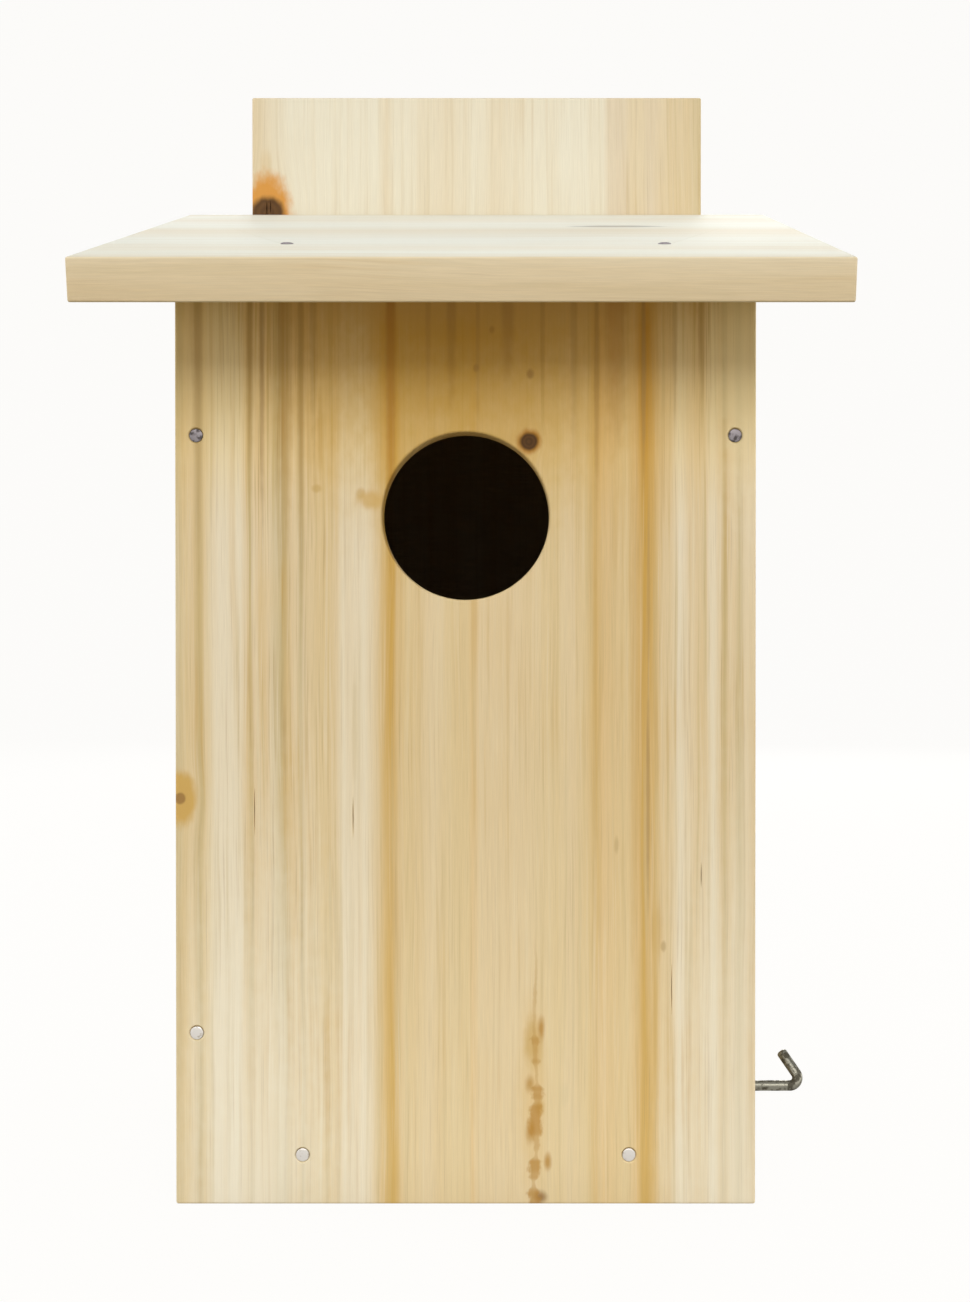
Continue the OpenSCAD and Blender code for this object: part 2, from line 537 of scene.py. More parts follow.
@dataclass(frozen=True)
class Pine:
    """The finish of one planed, unfinished pine board.

    Attributes:
        name: The material's name.
        grain: How the grain lies.
        streaks: The streaks across the board: their places in millimetres, their tones, and how
            strongly the fine lines show there.
        seed: Moves the random part of the pattern, so that no two boards are alike.
        knots: Its knots.
        marks: Its smaller marks.
        track: Its resin track, if it has one.
        slant: How far the rings move across for each millimetre through the board.
        wander: How far the streaks wander across, in millimetres.
        lift: How much stronger the streaks are at the upper end.
        shade: Brightness of the whole board.
        sheen: Strength of the dusty sheen that shows at a low angle.
        painted_light_washes: Painted shade and painted light that set in gradually along the grain.
        dust_and_painted_shade: Tint of its level faces: painted shade that darkens them and greys them like a
            low-angle reflection.
    """

    name: str
    grain: Grain
    streaks: tuple[tuple[float, Tone, float], ...]
    seed: float
    knots: tuple[Knot, ...] = ()
    marks: tuple[Mark, ...] = ()
    track: ResinTrack | None = None
    slant: float = 0.8
    wander: float = 1.6
    lift: float = 0.0
    shade: float = 1.0
    sheen: float = 0.0
    painted_light_washes: tuple[PaintedLightWash, ...] = ()
    dust_and_painted_shade: tuple[float, float, float] | None = None

    def material(self, pitch: float, datum: Vector, cavity: Cavity) -> bpy.types.Material:
        """Builds the board's material.

        Args:
            pitch: The roof's slope in radians, which a sloping board's grain follows.
            datum: A point on the board's outer face, from which its streaks are measured.
            cavity: The nest cavity.

        Returns:
            The material.
        """
        shader = Shader(bpy.data.materials.new(self.name))
        x, y, z = shader.position()
        across, along, through = self.grain.sort(x - datum.x / MM, y - datum.y / MM, z - datum.z / MM, pitch)
        line = self._grain_line(shader, across, along, through)
        colour, vigour = self._streaked(shader, line, along)
        colour, lines, fibre = self._lined(shader, colour, vigour, line, along, through)
        colour, dark = self._marked(shader, colour, across, along)
        ends = self._ends(shader)
        colour = shader.mix(ends * 0.75, colour, self._end_grain(shader, line, through))
        # painted light and shade that change along the grain
        for painted_wash in self.painted_light_washes:
            colour = shader.tinted(colour, painted_wash.tint, shader.step(along, painted_wash.start, painted_wash.end))
        # painted shade and reflection: the level faces are darkened and greyed
        if self.dust_and_painted_shade:
            colour = shader.tinted(colour, self.dust_and_painted_shade, shader.step(shader.facing(2), 0.6, 0.85))
        inside = cavity.mask(shader, x, y, z)
        # painted shade: the cavity's walls are darkened
        colour = shader.tinted(colour, PAINTED_CAVITY_SHADE, inside)
        colour = shader.tinted(colour, (self.shade,) * 3, 1.0)
        sawn = shader.noise((across / 6, along / 0.7, through / 6), 2.0) * inside
        height = lines * -0.35 + fibre * 0.5 + dark * -0.5 + sawn * 2.5
        rough = shader.step(fibre, 0.2, 0.8, 0.56, 0.72) + ends * 0.15 + dark * 0.1 + inside * 0.15
        return shader.surface(
            {
                "Base Color": colour,
                "Roughness": rough,
                "Normal": shader.bump(height, 0.5, 0.12),
                "Specular IOR Level": 0.3,
                "Sheen Weight": self.sheen,
                "Sheen Roughness": 0.45,
            }
        )

    def _ends(self, shader: Shader) -> Number:
        """Masks the cut ends of the board, from 0 on the faces to 1 on the end grain."""
        return shader.step(shader.facing(self.grain.end_axis), 0.6, 0.85)

    def _end_grain(self, shader: Shader, line: Number, through: Number) -> Socket:
        """Colours the growth rings on a cut end.

        Args:
            shader: The shader to add to.
            line: The growth line.
            through: Millimetres through the board.

        Returns:
            The colour.
        """
        rings = shader.noise((line / 0.9, through / 40, self.seed), 1.0)
        return shader.mix(shader.step(rings, 0.42, 0.6), Tone.STRAW.colour, Tone.DRAB.colour)

    def _grain_line(self, shader: Shader, across: Number, along: Number, through: Number) -> Number:
        """Numbers the growth lines: the value stays the same along one line of grain.

        Args:
            shader: The shader to add to.
            across: Millimetres across the grain.
            along: Millimetres along the grain.
            through: Millimetres through the board.

        Returns:
            The line's place across the board, in millimetres.
        """
        slow = shader.noise((across / 60, along / 140, self.seed), 1.0)
        quick = shader.noise((across / 9, along / 45, self.seed + 7), 1.0)
        line = across + through * self.slant + (slow - 0.5) * (2 * self.wander) + (quick - 0.5) * 0.9
        for knot in self.knots:
            aside = (across - knot.across) / (knot.halo * 1.1)
            down = (along - knot.along) / (knot.halo * knot.stretch * 1.1)
            near = shader.maths("EXPONENT", (aside * aside + down * down) * -1.0)
            line = line - aside * near * (knot.radius * 1.3)
        return line

    def _streaked(self, shader: Shader, line: Number, along: Number) -> tuple[Socket, Number]:
        """Colours the broad streaks.

        Args:
            shader: The shader to add to.
            line: The growth line.
            along: Millimetres along the grain.

        Returns:
            The colour, and how strongly the fine lines show.
        """
        colour, vigour = None, None
        for first in range(0, len(self.streaks) - 1, RAMP_STOPS - 1):
            group = self.streaks[first : first + RAMP_STOPS]
            start, span = group[0][0], group[-1][0] - group[0][0]
            stops = [
                ((place - start) / span, tone.colour[:3] + (strength,)) for place, tone, strength in group
            ]
            ramp = shader.node("ShaderNodeValToRGB", {"stops": stops}, {0: (line - start) * (1 / span)})
            alpha = Number(shader, ramp.outputs[1])
            if colour is None:
                colour, vigour = ramp.outputs[0], alpha
                continue
            beyond = shader.maths("GREATER_THAN", line, start)
            colour = shader.mix(beyond, colour, ramp.outputs[0])
            vigour = vigour + (alpha - vigour) * beyond
        if self.lift:
            stronger = shader.step(along, 60.0, 200.0, 1.0, 1.0 + self.lift)
            colour = shader.mix(stronger, Tone.STRAW.colour, colour)
        return colour, vigour

    def _lined(
        self,
        shader: Shader,
        colour: Socket,
        vigour: Number,
        line: Number,
        along: Number,
        through: Number,
    ) -> tuple[Socket, Number, Number]:
        """Adds the medium streaks, the fine growth lines and the fibres.

        Args:
            shader: The shader to add to.
            colour: The broad streaks' colour.
            vigour: How strongly the lines show.
            line: The growth line.
            along: Millimetres along the grain.
            through: Millimetres through the board.

        Returns:
            The colour, the strength of the dark lines and the height of the fibres.
        """
        seed = self.seed
        cloud = shader.noise((line / 16, along / 50, seed + 5), 2.0)
        broad = shader.noise((line / 4.0, along / 170, seed), 2.0)
        medium = shader.noise((line / 1.3, along / 90, seed + 3), 2.0, 0.6)
        thin = shader.noise((line / 0.5, along / 45, seed + 11), 2.0, 0.65)
        fibre = shader.noise((line / 0.16, along / 9, through / 3), 2.0, 0.6)
        colour = shader.mix(shader.step(cloud, 0.5, 0.72) * 0.3 * vigour, colour, Tone.AMBER.colour)
        colour = shader.mix(shader.step(broad, 0.46, 0.66) * 0.5 * vigour, colour, Tone.AMBER.colour)
        colour = shader.mix(shader.step(broad, 0.47, 0.3) * 0.45 * vigour, colour, Tone.PALE.colour)
        lines = shader.step(medium, 0.5, 0.68)
        line_tone = shader.mix(shader.step(cloud, 0.45, 0.65), Tone.DRAB.colour, Tone.GOLD.colour)
        colour = shader.mix(lines * 0.75 * vigour, colour, line_tone)
        colour = shader.mix(shader.step(medium, 0.44, 0.3) * 0.5 * vigour, colour, Tone.PALE.colour)
        hairs = shader.step(thin, 0.54, 0.74) * vigour
        colour = shader.mix(hairs * 0.55, colour, Tone.UMBER.colour)
        colour = shader.mix(shader.step(thin, 0.42, 0.25) * 0.4 * vigour, colour, Tone.CHALK.colour)
        dust_and_painted_shade = shader.step(fibre, 0.3, 0.75, 0.96, 1.03)
        colour = shader.node("ShaderNodeVectorMath", {"operation": "SCALE"}, {0: colour, 3: dust_and_painted_shade}).outputs[0]
        return colour, shader.larger(lines * vigour, hairs), fibre

    def _marked(
        self, shader: Shader, colour: Socket, across: Number, along: Number
    ) -> tuple[Socket, Number]:
        """Adds the knots, the small marks and the resin track.

        Args:
            shader: The shader to add to.
            colour: The colour so far.
            across: Millimetres across the grain.
            along: Millimetres along the grain.

        Returns:
            The colour, and how dark a mark is at each point.
        """
        ragged = (shader.noise((across / 2.2, along / 4, self.seed + 19), 2.0) - 0.5) * 0.9
        dark = ragged * 0.0
        for mark in self.marks:
            aside = (across - mark.across) / mark.half_width
            down = (along - mark.along) / mark.half_length
            reach = (aside * aside + down * down) ** 0.5 + ragged * 0.4
            inner = shader.step(reach, 1.0, 1.0 - mark.softness) * mark.strength
            colour = shader.mix(inner, colour, mark.tone.colour)
            dark = shader.larger(dark, inner * 0.5)
        for knot in self.knots:
            aside = (across - knot.across) / knot.halo
            down = (along - knot.along) / (knot.halo * knot.stretch)
            reach = (aside * aside + down * down) ** 0.5 + ragged * 0.5
            colour = shader.mix(shader.step(reach, 1.15, 0.65), colour, knot.stain.colour)
            down = (along - knot.along) / knot.halo
            core = ((aside * aside + down * down) ** 0.5 + ragged * 0.2) * (knot.halo / knot.radius)
            inner = shader.step(core, 1.25, 0.75) * knot.strength
            ringed = shader.maths("SINE", core * 14.0) * 0.5 + 0.5
            core_tone = shader.mix(ringed * 0.14, knot.core.colour, Tone.BROWN.colour)
            colour = shader.mix(inner, colour, core_tone)
            dark = shader.larger(dark, inner)
        if self.track:
            strength = self._track_mask(shader, across, along)
            colour = shader.mix(strength, colour, Tone.RESIN.colour)
            dark = shader.larger(dark, strength * 0.5)
        return colour, dark

    def _track_mask(self, shader: Shader, across: Number, along: Number) -> Number:
        """Masks the resin track.

        Args:
            shader: The shader to add to.
            across: Millimetres across the grain.
            along: Millimetres along the grain.

        Returns:
            How much of the track's colour shows.
        """
        track = self.track
        swing = shader.noise((along / 16, self.seed, 0.5), 2.0) - 0.5
        middle = swing * (4 * track.sway) + track.across
        blotch = shader.noise((along / 5.5, self.seed + 2.6, 3.1), 2.0, 0.6)
        low = shader.step(along, track.start * 0.8, track.start * 0.45)
        swell = shader.step(blotch, 0.4, 0.6) * low
        ragged = shader.noise((across / 0.8, along / 1.6, self.seed), 2.0) - 0.5
        width = swell * (track.half_width * 1.5) + track.half_width * 0.45
        edge = shader.step(abs(across - middle) / width + ragged, 1.0, 0.35)
        fade = shader.step(along, track.start, track.start * 0.72)
        return edge * fade * (swell * 0.5 + 0.28)


def evenly(places: Point, vigour: float, tones: tuple[Tone, ...]) -> tuple[tuple[float, Tone, float], ...]:
    """Spaces tones evenly over a stretch.

    Args:
        places: Where the stretch starts and ends, in millimetres.
        vigour: How strongly the fine lines show in it.
        tones: The tones, in order.

    Returns:
        The streaks.
    """
    start, end = places
    gap = (end - start) / (len(tones) - 1)
    return tuple((start + gap * index, tone, vigour) for index, tone in enumerate(tones))


FRONT_PINE = Pine(
    name="front_pine",
    grain=Grain.FACE_ON,
    seed=4.0,
    slant=0.35,
    wander=0.5,
    lift=0.3,
    streaks=(
        (-68.0, Tone.OLIVE, 0.5),
        (-65.4, Tone.OLIVE, 0.5),
        (-64.0, Tone.STRAW, 0.5),
        (-62.0, Tone.SAND, 0.5),
        (-60.6, Tone.DRAB, 0.6),
        (-59.4, Tone.STRAW, 0.6),
        (-57.0, Tone.PALE, 0.6),
        (-51.0, Tone.PALE, 0.7),
        (-49.6, Tone.SAND, 0.8),
        (-48.9, Tone.DRAB, 0.9),
        (-48.0, Tone.CREAM, 0.9),
        (-46.2, Tone.SAND, 1.0),
        (-44.6, Tone.CREAM, 1.0),
        (-42.9, Tone.OLIVE, 1.0),
        (-41.0, Tone.DRAB, 1.0),
        (-39.4, Tone.SAND, 0.9),
        (-38.1, Tone.SAND, 0.8),
        (-37.2, Tone.DRAB, 0.8),
        (-36.2, Tone.SAND, 0.7),
        (-32.0, Tone.STRAW, 0.7),
        (-29.2, Tone.SAND, 0.5),
        (-27.6, Tone.PALE, 0.35),
        (-22.8, Tone.PALE, 0.35),
        (-20.3, Tone.SAND, 0.4),
        (-18.4, Tone.AMBER, 0.5),
        (-16.8, Tone.RUST, 0.5),
        (-15.4, Tone.AMBER, 0.5),
        (-13.4, Tone.STRAW, 0.45),
        (-8.0, Tone.SAND, 0.35),
        (-3.0, Tone.STRAW, 0.35),
        (0.6, Tone.STRAW, 0.4),
        (1.6, Tone.HONEY, 0.4),
        (3.4, Tone.SAND, 0.35),
        (12.0, Tone.SAND, 0.3),
        (21.0, Tone.STRAW, 0.35),
        (24.0, Tone.SAND, 0.4),
        (27.4, Tone.STRAW, 0.4),
        (29.6, Tone.AMBER, 0.4),
        (31.2, Tone.HONEY, 0.4),
        (36.5, Tone.STRAW, 0.4),
        (38.6, Tone.HONEY, 0.4),
        (40.2, Tone.RUST, 0.5),
        (41.4, Tone.RUST, 0.5),
        (43.0, Tone.AMBER, 0.5),
        (44.6, Tone.SAND, 0.5),
        (46.8, Tone.SAND, 0.6),
        (48.6, Tone.PALE, 0.6),
        (51.0, Tone.CREAM, 0.7),
        (53.5, Tone.SAND, 0.8),
        (56.4, Tone.PALE, 0.8),
        (58.0, Tone.SAND, 0.8),
        (58.8, Tone.DRAB, 0.8),
        (59.8, Tone.SAND, 0.7),
        (61.0, Tone.CREAM, 0.6),
        (62.2, Tone.OLIVE, 0.6),
        (63.6, Tone.CREAM, 0.5),
        (68.0, Tone.SAND, 0.5),
    ),
    knots=(
        Knot(14.4, 173.6, 2.0, 2.8, 1.1, Tone.BARK, Tone.RESIN),
        Knot(-65.0, 92.5, 1.3, 4.2, 1.6, Tone.BROWN, Tone.RUST, 0.7),
    ),
    marks=(
        # painted shade: the wood is painted a deeper gold close under the roof, where the roof's shadow falls
        Mark(-2.0, 204.0, 56.0, 70.0, 0.8, Tone.PAINTED_EAVES_SHADE, 1.0),
        Mark(0.0, 210.0, 90.0, 13.0, 0.9, Tone.HONEY, 1.0),
        # painted light: paler at both upper sides, where light reaches in under the ends of the roof
        Mark(63.0, 200.0, 10.0, 60.0, 0.6, Tone.CHALK),
        Mark(-61.0, 200.0, 8.0, 50.0, 0.3, Tone.CHALK),
        # paler at both sides towards the foot
        Mark(-46.0, 6.0, 28.0, 120.0, 0.6, Tone.CHALK, 1.0),
        Mark(60.0, 6.0, 20.0, 130.0, 0.45, Tone.CHALK, 1.0),
        # pin knots round the entrance
        Mark(14.7, 188.9, 1.2, 1.6, 0.45, Tone.BROWN),
        Mark(2.4, 190.3, 1.0, 1.3, 0.35, Tone.BROWN),
        Mark(6.0, 199.0, 0.9, 1.2, 0.28, Tone.BROWN),
        Mark(-33.8, 162.9, 1.6, 1.3, 0.5, Tone.GOLD),
        Mark(-33.0, 176.0, 0.8, 14.0, 0.4, Tone.GOLD),
        Mark(-23.8, 161.8, 1.6, 1.8, 0.5, Tone.GOLD),
        Mark(-21.6, 160.4, 4.2, 3.0, 0.7, Tone.RUST),
        # dark lines that run down from the eaves on the left
        Mark(-60.8, 205.0, 1.6, 75.0, 0.42, Tone.UMBER),
        Mark(-49.0, 205.0, 1.1, 52.0, 0.48, Tone.UMBER),
        Mark(-46.2, 205.0, 0.8, 70.0, 0.42, Tone.BROWN),
        Mark(-41.2, 205.0, 2.6, 75.0, 0.42, Tone.UMBER),
        Mark(-37.4, 205.0, 1.0, 90.0, 0.45, Tone.UMBER),
        Mark(-34.6, 205.0, 1.2, 40.0, 0.4, Tone.UMBER),
        Mark(-17.0, 205.0, 1.6, 75.0, 0.6, Tone.RESIN),
        # and fainter ones in the middle
        Mark(-8.5, 205.0, 0.9, 34.0, 0.3, Tone.UMBER),
        Mark(-3.2, 204.0, 1.6, 30.0, 0.25, Tone.BROWN),
        Mark(2.8, 205.0, 0.7, 42.0, 0.3, Tone.UMBER),
        Mark(9.6, 206.0, 2.2, 26.0, 0.25, Tone.BROWN),
        Mark(17.5, 204.0, 0.8, 36.0, 0.3, Tone.UMBER),
        Mark(24.6, 205.0, 1.2, 46.0, 0.35, Tone.UMBER),
        Mark(34.2, 206.0, 3.4, 44.0, 0.4, Tone.RESIN),
        Mark(47.5, 205.0, 0.9, 36.0, 0.35, Tone.UMBER),
        Mark(53.6, 205.0, 1.2, 30.0, 0.35, Tone.UMBER),
        # the dark heart of the right-hand amber band
        Mark(40.4, 190.0, 0.8, 34.0, 0.6, Tone.UMBER),
        Mark(41.6, 140.0, 0.5, 30.0, 0.4, Tone.UMBER),
        Mark(41.5, 92.0, 0.6, 34.0, 0.65, Tone.UMBER),
        Mark(43.2, 40.0, 0.6, 22.0, 0.4, Tone.GOLD),
        Mark(43.6, 62.0, 1.8, 9.0, 0.35, Tone.GOLD),
        Mark(29.8, 190.0, 0.9, 40.0, 0.5, Tone.UMBER),
        Mark(29.4, 110.0, 0.7, 60.0, 0.35, Tone.GOLD),
        Mark(45.0, 58.8, 0.9, 1.7, 0.5, Tone.UMBER),
        Mark(34.3, 81.9, 0.8, 3.0, 0.35, Tone.UMBER),
        # resin that has bled along one line near the foot
        Mark(15.4, 24.0, 5.0, 34.0, 0.6, Tone.AMBER, 0.9),
        Mark(15.4, 37.0, 3.0, 8.0, 0.6, Tone.GOLD),
        Mark(17.2, 40.0, 1.1, 4.0, 0.8, Tone.RESIN, 0.9),
        Mark(14.6, 27.4, 1.6, 3.0, 0.7, Tone.RESIN, 0.9),
        Mark(16.8, 22.0, 1.6, 3.0, 0.7, Tone.GOLD, 0.9),
        Mark(14.7, 16.6, 1.6, 4.2, 0.8, Tone.RESIN, 0.9),
        Mark(18.7, 9.6, 1.2, 3.0, 0.8, Tone.RESIN, 0.9),
        Mark(17.0, 1.6, 2.2, 2.2, 0.85, Tone.BROWN, 0.9),
        Mark(22.6, 25.0, 1.6, 3.6, 0.35, Tone.OLIVE),
        Mark(-25.2, 108.0, 0.8, 22.0, 0.35, Tone.DRAB),
        Mark(38.4, 110.0, 1.2, 95.0, 0.35, Tone.GOLD),
    ),
    track=ResinTrack(16.0, 66.0, 1.0, 0.8),
    painted_light_washes=(
        # painted shade: the front turns a deeper honey under the roof, where the roof's shadow falls
        PaintedLightWash(150.0, 185.0, (0.98, 0.9, 0.66)),
        # painted light: the front grows paler and cooler towards the foot, as light thrown up from the floor
        # would make it
        PaintedLightWash(120.0, 4.0, (1.17, 1.20, 1.26)),
    ),
)

BACK_PINE = Pine(
    name="back_pine",
    grain=Grain.FACE_ON,
    seed=21.0,
    slant=0.5,
    wander=0.8,
    shade=0.91,
    streaks=(
        (-66.0, Tone.CREAM, 0.3),
        (-60.0, Tone.PALE, 0.3),
        (-54.0, Tone.CHALK, 0.2),
        (-29.0, Tone.CHALK, 0.2),
        (-25.8, Tone.PALE, 0.3),
        (-23.5, Tone.CHALK, 0.2),
        (-8.0, Tone.PALE, 0.25),
        (0.0, Tone.CHALK, 0.2),
        (5.0, Tone.PALE, 0.25),
        (18.0, Tone.CHALK, 0.2),
        (36.0, Tone.CHALK, 0.2),
        (38.6, Tone.ROSE, 0.3),
        (42.6, Tone.ROSE, 0.3),
        (44.6, Tone.CREAM, 0.4),
        (48.0, Tone.CREAM, 0.4),
        (50.0, Tone.ROSE, 0.4),
        (54.0, Tone.CREAM, 0.4),
        (61.0, Tone.SAND, 0.4),
        (66.0, Tone.OLIVE, 0.4),
    ),
    knots=(Knot(-60.6, 251.6, 4.7, 7.4, 1.65, Tone.BARK, Tone.ORANGE),),
    marks=(Mark(-61.0, 265.0, 2.4, 7.0, 0.3, Tone.AMBER),),
)

LEFT_PINE = Pine(
    name="left_pine",
    grain=Grain.SIDE_ON,
    seed=33.0,
    streaks=evenly(
        (-60.0, 85.0),
        0.6,
        (
            Tone.CREAM, Tone.PALE, Tone.SAND, Tone.STRAW, Tone.CREAM, Tone.HONEY, Tone.STRAW,
            Tone.SAND, Tone.PALE, Tone.CREAM, Tone.STRAW, Tone.AMBER, Tone.STRAW, Tone.CREAM,
            Tone.PALE, Tone.SAND, Tone.STRAW, Tone.CREAM,
        ),
    ),
    knots=(Knot(38.0, 142.0, 3.4, 7.0, 1.6, Tone.BARK, Tone.AMBER, 0.8),),
    marks=(Mark(-12.0, 66.0, 1.0, 5.0, 0.4, Tone.BROWN),),
)

DOOR_PINE = Pine(
    name="door_pine",
    grain=Grain.SIDE_ON,
    seed=52.0,
    wander=2.2,
    streaks=evenly(
        (-60.0, 85.0),
        0.55,
        (
            Tone.PALE, Tone.CREAM, Tone.SAND, Tone.PALE, Tone.STRAW, Tone.SAND, Tone.AMBER,
            Tone.STRAW, Tone.CREAM, Tone.PALE, Tone.CHALK, Tone.CREAM, Tone.STRAW, Tone.HONEY,
            Tone.SAND, Tone.CREAM, Tone.PALE, Tone.SAND,
        ),
    ),
    knots=(Knot(12.0, 88.0, 2.6, 5.5, 1.7, Tone.BROWN, Tone.HONEY, 0.75),),
    marks=(Mark(52.0, 178.0, 1.2, 2.0, 0.5, Tone.BROWN), Mark(-24.0, 150.0, 0.5, 9.0, 0.4, Tone.BROWN)),
)

FLOOR_PINE = Pine(
    name="floor_pine",
    grain=Grain.LEVEL,
    seed=71.0,
    streaks=evenly(
        (-45.0, 80.0),
        0.6,
        (Tone.SAND, Tone.STRAW, Tone.CREAM, Tone.HONEY, Tone.STRAW, Tone.SAND, Tone.CREAM, Tone.STRAW),
    ),
)

ROOF_PINE = Pine(
    name="roof_pine",
    grain=Grain.SLOPING,
    seed=90.0,
    slant=0.6,
    wander=2.4,
    shade=0.97,
    sheen=0.3,
    # painted shade: the roof's top is darkened and greyed like a low-angle reflection
    dust_and_painted_shade=(0.85, 0.895, 0.935),
    streaks=evenly(
        (-190.0, 20.0),
        0.26,
        (
            Tone.PALE, Tone.CREAM, Tone.CHALK, Tone.PALE, Tone.CHALK, Tone.CHALK, Tone.PALE,
            Tone.CREAM, Tone.CHALK, Tone.CHALK, Tone.PALE, Tone.CHALK, Tone.CREAM, Tone.CHALK,
        ),
    ),
    marks=(Mark(-59.0, 38.0, 5.0, 15.0, 1.0, Tone.SMOKE, 0.5), Mark(-60.0, 36.0, 1.6, 10.0, 0.9, Tone.UMBER)),
)


# ---------------------------------------------------------------- steel


@dataclass(frozen=True)
class Steel:
    """The finish of bare or plated steel wire.

    Attributes:
        name: The material's name.
        bright: Display colour of the clean metal.
        dull: Display colour of the tarnished metal.
        tarnish: How much of the surface has dulled, from 0 to 1.
        roughness: Roughness of the clean metal.
    """

    name: str
    bright: tuple[float, float, float]
    dull: tuple[float, float, float]
    tarnish: float
    roughness: float

    def material(self) -> bpy.types.Material:
        """Builds the metal's material.

        Returns:
            The material.
        """
        shader = Shader(bpy.data.materials.new(self.name))
        x, y, z = shader.position()
        cloud = shader.noise((x / 1.4, y / 1.4, z / 1.4), 3.0, 0.6)
        scratch = shader.noise((x / 0.12, y / 0.12, z / 0.9), 2.0)
        dulled = shader.step(cloud, 0.66 - 0.3 * self.tarnish, 0.8 - 0.3 * self.tarnish)
        return shader.surface(
            {
                "Base Color": shader.mix(dulled, display(*self.bright), display(*self.dull)),
                "Metallic": 1.0 - dulled * 0.25,
                "Roughness": dulled * 0.25 + scratch * 0.16 + self.roughness,
                "Normal": shader.bump(scratch, 0.25, 0.02),
            }
        )


NAIL_STEEL = Steel("nail_steel", (208, 203, 196), (178, 170, 158), 0.4, 0.3)
DULL_STEEL = Steel("dull_nail_steel", (124, 118, 120), (80, 74, 74), 0.6, 0.36)
HOOK_STEEL = Steel("hook_steel", (128, 125, 113), (78, 74, 62), 0.7, 0.3)


@dataclass(frozen=True)
class Paper:
    """The matt, pale sheet that the stage is made of.

    Attributes:
        name: The material's name.
        tone: Its colour, as seen on a display.
        lift: How much brightness it has of itself, so that shadows stay faint on it.
        matt: How much of the light that falls on it it gives back.
    """

    name: str
    tone: tuple[float, float, float]
    lift: float
    matt: float

    def material(self) -> bpy.types.Material:
        """Builds the sheet's material."""
        shader = Shader(bpy.data.materials.new(self.name))
        tone = display(*self.tone)
        matt = tuple(channel * self.matt for channel in tone[:3]) + (1.0,)
        return shader.surface(
            {
                "Base Color": matt,
                "Roughness": 0.9,
                "Specular IOR Level": 0.0,
                "Emission Color": tone,
                "Emission Strength": self.lift,
            }
        )


STAGE_PAPER = Paper("stage_paper", (254, 253, 251), 0.97, 0.03)


# ---------------------------------------------------------------- meshes


def keep(mesh: bmesh.types.BMesh, name: str, material: bpy.types.Material) -> bpy.types.Object:
    """Turns a finished shape into an object that sits at the origin.

    Broad faces are shaded flat and slim ones smooth, so that only curves and eased edges blend.

    Args:
        mesh: The shape, which is freed.
        name: The object's name.
        material: Its material.

    Returns:
        The object.
    """
    for face in mesh.faces:
        face.smooth = face.calc_area() / face.calc_perimeter() < SLIM
    data = bpy.data.meshes.new(name)
    mesh.to_mesh(data)
    mesh.free()
    data.set_sharp_from_angle(angle=SHARP_EDGE)
    data.materials.append(material)
    made = bpy.data.objects.new(name, data)
    bpy.context.scene.collection.objects.link(made)
    return made


def turned(outline: list[Point], place: Matrix, steps: int = LATHE_STEPS) -> bmesh.types.BMesh:
    """Turns an outline about its own axis, as on a lathe.

    Args:
        outline: Radius and height of each point in metres, from the axis outwards.
        place: Where the axis is put. The outline's height runs along its Z.
        steps: Number of steps round the axis.

    Returns:
        The shape, closed where the outline comes back to the axis.
    """
    mesh = bmesh.new()
    points = [mesh.verts.new((radius, 0.0, height)) for radius, height in outline]
    edges = [mesh.edges.new(pair) for pair in zip(points, points[1:])]
    bmesh.ops.spin(
        mesh,
        geom=points + edges,
        cent=(0, 0, 0),
        axis=(0, 0, 1),
        angle=math.tau,
        steps=steps,
        use_merge=True,
    )
    bmesh.ops.remove_doubles(mesh, verts=mesh.verts, dist=WELD)
    bmesh.ops.recalc_face_normals(mesh, faces=mesh.faces)
    bmesh.ops.transform(mesh, matrix=place, verts=mesh.verts)
    return mesh


def add_shape(target: bmesh.types.BMesh, part: bmesh.types.BMesh) -> None:
    """Adds one shape to another and frees it.

    Args:
        target: The shape that grows.
        part: The shape that is added.
    """
    data = bpy.data.meshes.new("part")
    part.to_mesh(data)
    part.free()
    target.from_mesh(data)
    bpy.data.meshes.remove(data)


def quarter(centre: Point, radius: float, start: float, steps: int) -> list[Point]:
    """Gives the points of a quarter circle, counter-clockwise.

    Args:
        centre: The circle's middle.
        radius: Its radius.
        start: The angle at which the quarter starts, in degrees.
        steps: Number of steps along it.

    Returns:
        The points, both ends included.
    """
    angles = [math.radians(start + 90 * step / steps) for step in range(steps + 1)]
    return [(centre[0] + radius * math.cos(a), centre[1] + radius * math.sin(a)) for a in angles]


def block(low: Vector, high: Vector) -> bmesh.types.BMesh:
    """Makes a square-edged block.

    Args:
        low: Its lowest corner.
        high: Its highest corner.

    Returns:
        The block.
    """
    mesh = bmesh.new()
    bmesh.ops.create_cube(mesh, size=1.0)
    place = Matrix.Translation((low + high) / 2) @ Matrix.Diagonal((*(high - low), 1.0))
    bmesh.ops.transform(mesh, matrix=place, verts=mesh.verts)
    return mesh


def saw(mesh: bmesh.types.BMesh, point: Vector, outward: Vector) -> None:
    """Saws a block along a plane and drops the part on its outer side.

    Args:
        mesh: The block.
        point: A point on the plane.
        outward: The plane's normal, which points at the part that falls off.
    """
    everything = list(mesh.verts) + list(mesh.edges) + list(mesh.faces)
    cut = bmesh.ops.bisect_plane(
        mesh, geom=everything, plane_co=point, plane_no=outward, dist=WELD, clear_outer=True
    )["geom_cut"]
    bmesh.ops.edgeloop_fill(mesh, edges=[item for item in cut if isinstance(item, bmesh.types.BMEdge)])
    bmesh.ops.recalc_face_normals(mesh, faces=mesh.faces)


